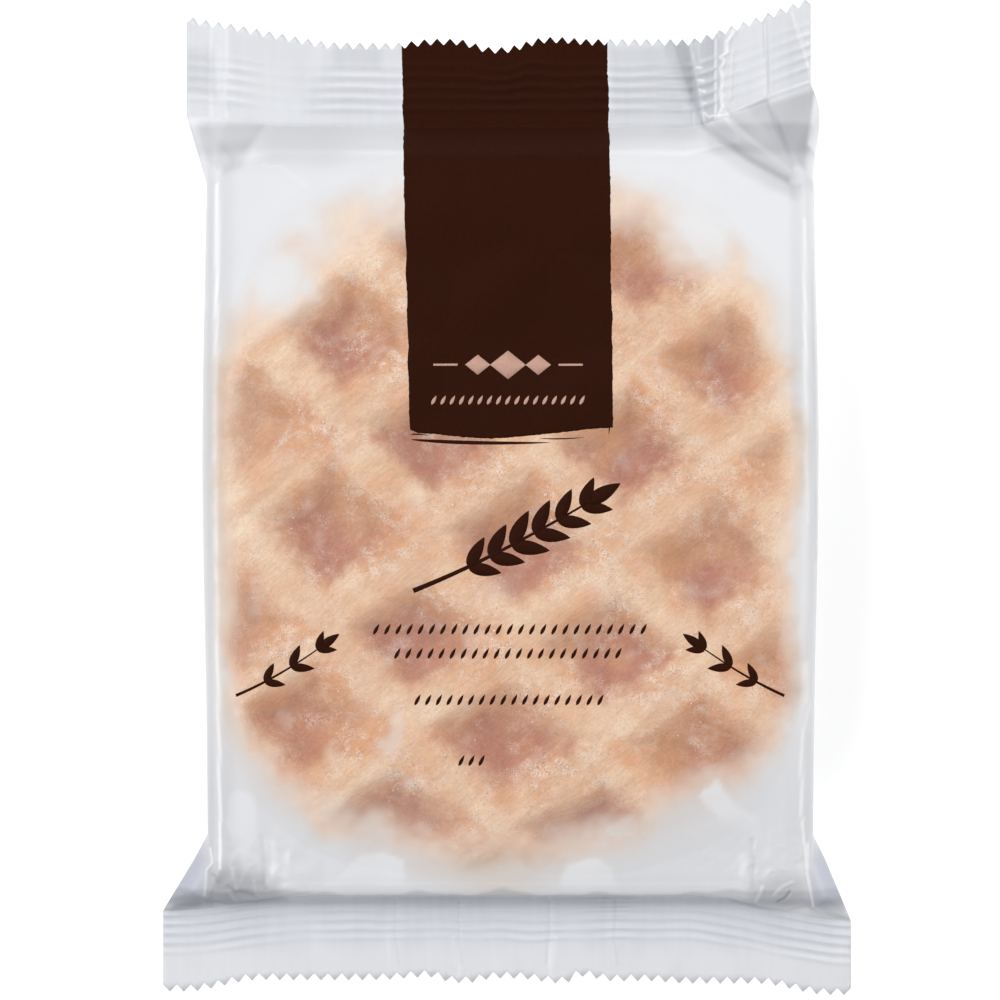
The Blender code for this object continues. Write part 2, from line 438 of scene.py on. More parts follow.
    def pit_reach(self, x: float, y: float) -> float:
        """Return 0 in the middle of a pit, rising to 0.5 on the ridge between two pits."""
        first, second = self.lattice(x, y)
        return max(abs(first - round(first)), abs(second - round(second)))

    def cell(self, x: float, y: float) -> Point:
        """Return the place in a pit's cell, across and up, where the cell's corners are at 1.

        Args:
            x: The place across the pack in mm.
            y: The place along the pack in mm.

        Returns:
            The place in the cell, across and up.
        """
        first, second = self.lattice(x, y)
        first, second = first - round(first), second - round(second)
        return first + second, second - first

    def touch_depth(self, x: float, y: float) -> float:
        """Return how far a place lies inside the film's touch with the waffle, in the frame's pixels."""
        return inside_by(self.touch_outline, *pixel(x, y))

    def face_height(self, x: float, y: float) -> float:
        """Return the height of the smooth film over the waffle and the empty corners.

        Args:
            x: The place across the pack in mm.
            y: The place along the pack in mm.

        Returns:
            The height in mm.
        """
        from_middle = math.hypot((x - self.waffle_middle[0]) / self.waffle_half[0],
                                 (y - self.waffle_middle[1]) / self.waffle_half[1])
        over = 1.0 - ease(from_middle, 0.84, 1.22)
        sag = self.pit_sag * (1.0 - ease(self.pit_reach(x, y), 0.12, 0.48))
        return self.face_top - self.corner_drop * (1.0 - over) - sag * (1.0 - ease(from_middle, 0.8, 1.0))

    def wrinkle(self, x: float, y: float) -> float:
        """Return the height of the small folds that the film's face has.

        Args:
            x: The place across the pack in mm.
            y: The place along the pack in mm.

        Returns:
            The height in mm, above or below the smooth film.
        """
        low_corner = ease(-y, 58.0, 72.0) * ease(abs(x), 28.0, 50.0)
        crumple = 1.0 - 2.0 * abs(rough(x, y * 0.7, 5.5, 3.0)) - 1.2 * abs(rough(x, y, 2.6, 8.0))
        ripple = rough(x, y * 0.12, 7.0, 5.0) * ease(abs(y + 4.0), 46.0, 66.0) * 0.35
        slack = 0.12 * rough(x, y, 14.0, 1.0)
        return 0.5 * low_corner * crumple + ripple + slack

    def film_height(self, x: float, y: float) -> float:
        """Return the height of the front film's face at a place on the pack."""
        return self.face_height(x, y) + self.wrinkle(x, y)

    def seam(self, x: float, high: bool) -> float:
        """Return the height of the middle of an end seal.

        Args:
            x: The place across the pack in mm.
            high: True for the upper seal, False for the lower one.

        Returns:
            The height in mm.
        """
        course = self.high_seam if high else self.low_seam
        wave = self.seam_wave * math.sin(x * self.seam_wave_rates[int(high)])
        height = self.seam_height + course.at(x) + wave
        if not high:
            height += sum(self.crease_height * math.tanh((x - at) * self.crease_steepness)
                          * bump_at(x, at, self.crease_reach) for at in self.crease_places)
        return height

    def seal_x(self, share: float, high: bool) -> float:
        """Return the place across the pack of a film column in an end seal.

        Args:
            share: The column, from 0 at the left to 1 at the right.
            high: True for the upper seal, False for the lower one.

        Returns:
            The place across the pack in mm.
        """
        if high:
            return share * self.high_seal_half[0 if share < 0.0 else 1]
        return share * self.film_arc + self.low_seal_shift

    def tooth(self, share: float) -> float:
        """Return how far the zigzag cut stands past its roots at a film column."""
        return self.tooth_depth * (1.0 - abs(2.0 * ((share + 1.0) * 0.5 * self.teeth % 1.0) - 1.0))

    def section(self, share: float, y: float, side: Side) -> Point:
        """Return a point of the body's cross-section.

        Args:
            share: Film column, from -1 at the left edge to 1 at the right edge.
            y: Place along the pack.
            side: Front or back film.

        Returns:
            Place across the pack and height.
        """
        front = side is Side.FRONT
        half = self.half_width + self.bulge * math.exp(-((y - self.bulge_middle) / self.bulge_reach) ** 2)
        flat = half - self.side_radius
        top = self.face_height(0.97 * half * share, y) if front else 0.0
        wall = abs(top - self.seam_height) - self.side_radius - 0.5 * self.seal_thickness
        arc = 0.5 * math.pi * self.side_radius
        path = abs(share) * (flat + arc + wall)
        x, drop, low = path, 0.0, 0.0
        if path > flat + arc:
            x, drop, low = half, self.side_radius + path - flat - arc, (path - flat - arc) / wall
        elif path > flat:
            angle = (path - flat) / self.side_radius
            x = flat + self.side_radius * math.sin(angle)
            drop = self.side_radius * (1.0 - math.cos(angle))
        x = math.copysign(x, share)
        top = self.film_height(x, y) if front else self.back_height(x, y)
        rim = self.seam_height + side.value * 0.5 * self.seal_thickness
        z = mix(top, rim, drop / (self.side_radius + wall))
        flare = within((self.flare_start - y) / self.flare_length) * low ** 1.4
        edge = math.copysign(self.film_arc, share)
        return mix(x, edge, flare) + self.body_shift * (1.0 - flare), z

    def back_height(self, x: float, y: float) -> float:
        """Return the height of the back film, with the pressed edges of its long seam.

        Args:
            x: The place across the pack in mm.
            y: The place along the pack in mm.

        Returns:
            The height in mm.
        """
        groove = 0.45 * bump_at(abs(x), self.fin_half_width, 0.9)
        crimp = 0.05 + 0.05 * math.sin(math.tau * y / self.fin_pitch)
        crimp *= ease(self.fin_half_width - abs(x), 0.8, 1.6)
        return groove + crimp

    def film_point(self, share: float, region: Region, step: float, side: Side) -> Triple:
        """Return a point of one film.

        Args:
            share: Film column, from -1 at the left edge to 1 at the right edge.
            region: Stretch of the film.
            step: Share of the stretch that is passed, counted from the lower end.
            side: Front or back film.

        Returns:
            The point in millimetres, before the pack is centred.
        """
        high = region in (Region.HIGH_END, Region.HIGH_RIBS, Region.HIGH_HEM)
        shoulder, inner, root = ((self.high_shoulder, self.high_inner, self.high_root) if high
                                 else (self.low_shoulder, self.low_inner, self.low_root))
        x_seal, x_shoulder = self.seal_x(share, high), self.shoulder_half * share
        seam = self.seam(x_seal, high) + side.value * 0.5 * self.seal_thickness
        if region is Region.FACE:
            evened = step - 0.07 * math.sin(math.tau * step)
            y = mix(self.low_shoulder.at(x_shoulder), self.high_shoulder.at(x_shoulder), evened)
            x, z = self.section(share, y, side)
            return x, y, z
        out, start = step if high else 1.0 - step, inner.at(x_seal)
        if region in (Region.LOW_END, Region.HIGH_END):
            y_body = shoulder.at(x_shoulder)
            x_body, z_body = self.section(share, y_body, side)
            keep = 1.0 - out ** 1.7 if high else math.sqrt(max(0.0, 1.0 - out ** 1.7))
            bulge = 1.6 * ease(share, 0.90, 1.0) * math.sin(math.pi * out ** 1.8) if high else 0.0
            return mix(x_body, x_seal, out) + bulge, mix(y_body, start, out), mix(seam, z_body, keep)
        end, outward = root.at(x_seal), 1.0 if high else -1.0
        first, length = self.rib_zones[int(high)]
        length = min(length, abs(end - start) - first - self.least_hem)
        length += 0.6 * rough(x_seal, 0.0, 9.0, 30.0)
        if region in (Region.HIGH_HEM, Region.LOW_HEM):
            return x_seal, mix(start + outward * (first + length), end, out), seam
        gone = out * (first + length)
        ribs = math.tau * self.rib_count * max(0.0, (gone - first) / length)
        pressed = 0.7 + 0.9 * rough(x_seal, out * 7.0, 13.0, 4.0)
        if high:
            pressed -= 0.45 * ease(x_seal, 37.0, 42.0) + 0.45 * bump_at(x_seal, -44.0, 12.0)
        rib = self.rib_height * (0.5 - 0.5 * math.cos(ribs)) ** 1.5
        rib *= within(pressed, 0.15, 1.1) * (1.0 - 0.5 * ease(out, 0.78, 0.95))
        wave = 0.35 * rough(x_seal, 7.0 * out, 9.0, 34.0) * math.sin(math.pi * out)
        return x_seal, start + outward * gone + wave, seam + rib

    def place(self, x: float, y: float, z: float) -> Vector:
        """Return a point in metres in the shared frame."""
        return Vector(((x + self.shift[0]) * MM, (y + self.shift[1]) * MM, z * MM))


@dataclass
class WaffleShape:
    """The waffle's form in millimetres inside the pack."""

    pack: PackShape
    middle: Point = (0.6, -3.6)
    half: Point = (56.5, 68.0)
    squareness: Point = (3.6, 3.1)
    top: float = 17.25
    bottom: float = 0.35
    pit_depth: float = 5.4
    clearance: float = 0.15
    rim_lump: float = 2.2
    crown_width: Triple = (4.0, 9.0, 12.0)
    wander: float = 1.5
    lag: Course = Course(0.0, ((2.2, 5.0, -14.0),))
    spread: Course = Course(1.0, ((-0.065, -28.0, -46.0),))
    # Lumps of the crust: height, size and seed
    lumps: tuple[Triple, ...] = ((0.45, 9.0, 0.0), (0.32, 3.6, 1.0), (0.16, 1.5, 2.0))
    lump_middle: float = 0.25

    def outline(self, angle: float) -> float:
        """Return the distance from the middle to the rim, uneven as baked dough is.

        Args:
            angle: The bearing from the middle in radians.

        Returns:
            The distance in mm.
        """
        c, s = abs(math.cos(angle)), abs(math.sin(angle))
        power = mix(*self.squareness, ease(math.sin(angle), -0.2, 0.5))
        reach = ((c / self.half[0]) ** power + (s / self.half[1]) ** power) ** (-1.0 / power)
        lump = self.rim_lump * rough(math.cos(angle) * 3.2, math.sin(angle) * 3.2, 1.0, 2.0)
        return reach + lump * s ** 0.7

    def inset(self, x: float, y: float) -> float:
        """Return how far a place lies inside the rim; below 0 it is outside."""
        dx, dy = x - self.middle[0], y - self.middle[1]
        return self.outline(math.atan2(dy, dx)) - math.hypot(dx, dy)

    def crown(self, x: float, y: float) -> float:
        """Return how far the ridges have dropped towards the rim, from 0 to half the thickness.

        Args:
            x: The place across the pack in mm.
            y: The place along the pack in mm.

        Returns:
            The drop in mm.
        """
        dx, dy = x - self.middle[0], y - self.middle[1]
        angle = math.atan2(dy, dx)
        upright = abs(math.sin(angle)) ** 1.5
        reach = mix(self.crown_width[0], self.crown_width[2 if dy > 0.0 else 1], upright)
        near = within(1.0 - self.inset(x, y) / reach)
        half = 0.5 * (self.top - self.bottom) - self.clearance
        return 0.5 * half * (near * near + 1.0 - math.sqrt(max(0.0, 1.0 - near ** 6)))

    def cell(self, x: float, y: float) -> Point:
        """Return the place in a pit's cell, on a grid as uneven as baked dough."""
        stray = [self.wander * rough(x, y, 12.0, seed) for seed in (6.0, 7.0)]
        return self.pack.cell(self.spread.at(y) * x + stray[0], y + self.lag.at(y) + stray[1])

    def pit(self, x: float, y: float, floor: float = 0.22, rim: float = 1.02) -> float:
        """Return 1 on a pit's floor and 0 on the ridges."""
        across, up = self.cell(x, y)
        return 1.0 - ease(abs(across) / 0.92 + abs(up) / 0.68, floor, rim)

    def height(self, x: float, y: float, side: Side) -> float:
        """Return the height of the crust on one side.

        Args:
            x: The place across the pack in mm.
            y: The place along the pack in mm.
            side: The side of the waffle.

        Returns:
            The height in mm.
        """
        crown = self.crown(x, y)
        inner = ease(self.inset(x, y), 1.0, 9.0)
        seed = 10.0 if side is Side.FRONT else 30.0
        lumps = sum(rise * rough(x, y, size, seed + later) for rise, size, later in self.lumps)
        depth = crown + (self.pit_depth * self.pit(x, y) + lumps + self.lump_middle) * inner
        if side is Side.FRONT:
            return min(self.top - depth, self.pack.film_height(x, y) - self.clearance)
        return max(self.bottom + depth, self.clearance)


def finish_mesh(mesh: bmesh.types.BMesh, name: str, material: bpy.types.Material) -> bpy.types.Object:
    """Turn a bmesh into a piece of the pack.

    Args:
        mesh: The bmesh in metres in the shared frame, which is freed.
        name: The piece's name.
        material: Its material.

    Returns:
        The new object.
    """
    data = bpy.data.meshes.new(name)
    mesh.to_mesh(data)
    mesh.free()
    data.shade_smooth()
    data.materials.append(material)
    piece = new_object(name, data)
    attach(piece, "root")
    LOG.info("%s: %d triangles", name, sum(len(p.vertices) - 2 for p in data.polygons))
    return piece


def double_sheet(columns: int, rows: int) -> bmesh.types.BMesh:
    """Make two square sheets of one grid, joined round the rim into a closed body.

    Args:
        columns: Number of columns.
        rows: Number of rows.

    Returns:
        A bmesh from -1 to 1 both ways, with the front sheet at height 1 and the back one at 0.
    """
    mesh = bmesh.new()
    bmesh.ops.create_grid(mesh, x_segments=columns, y_segments=rows, size=1.0)
    sheet = bmesh.ops.extrude_face_region(mesh, geom=list(mesh.faces), use_keep_orig=True)
    upper = [item for item in sheet["geom"] if isinstance(item, bmesh.types.BMVert)]
    bmesh.ops.translate(mesh, verts=upper, vec=(0.0, 0.0, 1.0))
    bmesh.ops.recalc_face_normals(mesh, faces=list(mesh.faces))
    return mesh


def side_of(vert: bmesh.types.BMVert) -> Side:
    """Return the film that a vertex of a double sheet belongs to."""
    return Side.FRONT if vert.co.z > 0.5 else Side.BACK


@dataclass(frozen=True)
class FilmFinish:
    """Cast polypropylene film with a frosted face, heat sealed at the ends."""

    roughness: float = 0.34
    refraction: float = 1.49
    light_kept: float = 0.15
    clouds_per_metre: float = 90.0
    cloud_depth: float = 0.06
    slack_per_metre: float = 160.0
    grain_per_metre: float = 1400.0
    grain_share: float = 0.12
    relief_mm: float = 0.6

    def build(self) -> bpy.types.Material:
        """Return the film's material, clear where the attribute haze is low.

        Returns:
            The material.
        """
        # Frosted film: a soft milky veil that clears on the waffle and lets light into the pack
        material, tree, shader = new_material("frosted_polypropylene_film")
        nodes = Nodes(tree)
        veil = nodes.calc("MULTIPLY_ADD", nodes.lumps(self.clouds_per_metre, 3.0), self.cloud_depth,
                          nodes.attribute("haze"))
        veil = nodes.calc("SUBTRACT", veil, 0.5 * self.cloud_depth, clamp=True)
        lit = add_node(tree, "LightPath").outputs["Is Shadow Ray"]
        kept = nodes.calc("MULTIPLY_ADD", lit, self.light_kept - 1.0, 1.0)
        relief = nodes.calc("MULTIPLY_ADD", nodes.lumps(self.grain_per_metre, 2.0), self.grain_share,
                            nodes.lumps(self.slack_per_metre, 3.0))
        # The base colour comes with painted shade and painted highlights
        plug(tree, shader, {"Roughness": self.roughness, "IOR": self.refraction,
                            "Base Color": nodes.attribute("tone", "Color"),
                            "Alpha": nodes.calc("MULTIPLY", veil, kept),
                            "Normal": nodes.bump(relief, 0.25, self.relief_mm)})
        return material


@dataclass(frozen=True)
class CrustFinish:
    """Baked yeast dough with caramelised sugar, rosy brown in the pits and pale on the ridges."""

    ridge: str = "#E4B894"
    cream: str = "#F5DBBC"
    blush: str = "#E1A376"
    tan: str = "#D2996A"
    rosy: str = "#B7755A"
    # Darker gaps between the sugar curls
    gap_tone: str = "#C28668"
    # Pale sugar with painted glints
    sugar_and_glint: str = "#FFF6EE"
    glaze: str = "#F3DFCC"
    roughness: float = 0.62
    refraction: float = 1.45
    crumbs_per_metre: float = 1100.0
    crumb_mottle: float = 0.5
    crumb_relief_mm: float = 0.6
    fibre_mm: Triple = (2.4, 0.4, 0.7)
    fibre_turn: float = 40.0
    grit_per_metre: float = 1900.0
    glaze_per_metre: float = 230.0
    curls_per_metre: float = 2300.0
    patches_per_metre: float = 420.0
    # Noise where a pattern starts, noise where it is full, and its strength there and below the start
    fibre_shade: tuple[float, ...] = (0.3, 0.7, 1.07, 0.92)
    grit_shade: tuple[float, ...] = (0.32, 0.68, 1.04, 0.95)
    glaze_cover: Triple = (0.48, 0.66, 0.3)
    glint_cover: Triple = (0.08, 0.02, 0.62)
    patch_cover: Point = (0.44, 0.62)
    gap_cover: Triple = (0.54, 0.70, 0.55)

    def build(self) -> bpy.types.Material:
        """Return the crust's material, led by the attributes bake, rosy, cream, blush and frost.

        Returns:
            The material.
        """
        # Rough baked crust: rosy brown pits with a tan flank, creamy ridges, and melted sugar with painted
        # glints
        material, tree, shader = new_material("baked_sugar_waffle_crust")
        nodes = Nodes(tree)
        bake, rosy, cream, blush, frost = (nodes.attribute(name) for name in Waffle.LOOKS)
        crumbs = nodes.lumps(self.crumbs_per_metre, 4.0)
        top = nodes.blend(blush, nodes.blend(cream, self.ridge, self.cream), self.blush)
        share = nodes.calc("MULTIPLY_ADD", crumbs, self.crumb_mottle, bake)
        share = nodes.calc("SUBTRACT", share, 0.5 * self.crumb_mottle, clamp=True)
        crust = nodes.blend(share, top, nodes.blend(rosy, self.tan, self.rosy))
        # Fibres of dough drawn out along the ridges, and a fine grit
        drawn = add_node(tree, "Mapping", {"vector_type": "TEXTURE"},
                         {"Vector": nodes.place, "Rotation": (0.0, 0.0, math.radians(self.fibre_turn)),
                          "Scale": [size * MM for size in self.fibre_mm]}).outputs[0]
        fibre = nodes.spread(nodes.lumps(1.0, 2.0, drawn), *self.fibre_shade)
        grit = nodes.spread(nodes.lumps(self.grit_per_metre, 2.0), *self.grit_shade)
        crust = add_node(tree, "VectorMath", {"operation": "SCALE"},
                         {0: crust, 3: nodes.calc("MULTIPLY", fibre, grit)}).outputs[0]
        # Melted sugar: a pale glaze on the ridges, short bright curls of sugar with painted glints, and
        # darker gaps between them
        glaze = nodes.spread(nodes.lumps(self.glaze_per_metre, 3.0), *self.glaze_cover)
        crust = nodes.blend(nodes.calc("MULTIPLY", glaze, frost), crust, self.glaze)
        curl = nodes.lumps(self.curls_per_metre, 2.0)
        gap = nodes.spread(curl, *self.gap_cover)
        crust = nodes.blend(nodes.calc("MULTIPLY", gap, frost), crust, self.gap_tone)
        # Painted glints on the sugar curls
        glint = nodes.spread(nodes.calc("ABSOLUTE", nodes.calc("SUBTRACT", curl, 0.5)), *self.glint_cover)
        patches = nodes.spread(nodes.lumps(self.patches_per_metre, 1.0), *self.patch_cover)
        glint = nodes.calc("MULTIPLY", nodes.calc("MULTIPLY", glint, patches), frost)
        plug(tree, shader, {"Roughness": self.roughness, "IOR": self.refraction,
                            "Base Color": nodes.blend(glint, crust, self.sugar_and_glint),
                            "Normal": nodes.bump(crumbs, 0.5, self.crumb_relief_mm)})
        return material


@dataclass(frozen=True)
class PlainFinish:
    """A finish of one colour with a fine mottle."""

    name: str
    colour: str
    second: str
    roughness: float
    grain_mm: float
    relief_mm: float = 0.02
    specular: float = 0.5

    def build(self) -> bpy.types.Material:
        """Return the material.

        Returns:
            The material.
        """
        material, tree, shader = new_material(self.name)
        nodes = Nodes(tree)
        mottle = nodes.lumps(1.0 / (self.grain_mm * MM), 3.0)
        plug(tree, shader, {"Roughness": self.roughness, "Specular IOR Level": self.specular,
                            "Base Color": nodes.blend(mottle, self.colour, self.second),
                            "Normal": nodes.bump(mottle, 0.5, self.relief_mm)})
        return material


# Flexographic ink on film: thin, matte, almost opaque
DARK_INK = PlainFinish("dark_printing_ink", "#2B1006", "#341609", 0.6, 0.6, 0.01, 0.05)
PALE_INK = PlainFinish("pale_printing_ink", "#CFA898", "#C29584", 0.6, 0.5, 0.01, 0.2)
# Pearl sugar: pale lumps with a melted, slightly glossy skin
PEARL_SUGAR = PlainFinish("pearl_sugar", "#F6E2D0", "#E8C6AB", 0.4, 0.4, 0.05)


@dataclass(frozen=True)
class Facet:
    """A stretch of film with straight edges, painted darker as shade where a fold turns it away from the
    light, or lighter as a painted highlight where its shade is below 0.
    """

    corners: tuple[Point, ...]
    shade: float
    soft: float = 2.0

    def cover(self, px: float, py: float) -> float:
        """Return 1 inside and 0 outside, in pixels of the photograph's frame.

        Args:
            px: Pixels from the left.
            py: Pixels from the top.

        Returns:
            The share that the facet has there, blurred over its soft edge.
        """
        nearest = math.inf
        for (ax, ay), (bx, by) in zip(self.corners, self.corners[1:] + self.corners[:1]):
            inside = ((bx - ax) * (py - ay) - (by - ay) * (px - ax)) / math.hypot(bx - ax, by - ay)
            nearest = min(nearest, inside)
            if nearest < -self.soft:
                return 0.0
        return ease(nearest, -self.soft, self.soft)


@dataclass(frozen=True)
class Fold:
    """A crease of the film along a line of points, raised or sunk, with a painted highlight or painted shade
    along it.
    """

    path: tuple[Point, ...]
    rise: float
    painted_gleam: float
    half: float = 3.0

    def cover(self, px: float, py: float) -> float:
        """Return 1 on the line, falling to 0 at its half width, in pixels of the frame.

        Args:
            px: The column in the photograph's frame.
            py: The row in the photograph's frame.

        Returns:
            The cover, from 0 to 1.
        """
        best = self.half
        for (ax, ay), (bx, by) in zip(self.path, self.path[1:]):
            if not (min(ax, bx) - self.half < px < max(ax, bx) + self.half):
                continue
            if not (min(ay, by) - self.half < py < max(ay, by) + self.half):
                continue
            best = min(best, apart(px, py, (ax, ay), (bx, by)))
        return 1.0 - ease(best, 0.0, self.half)


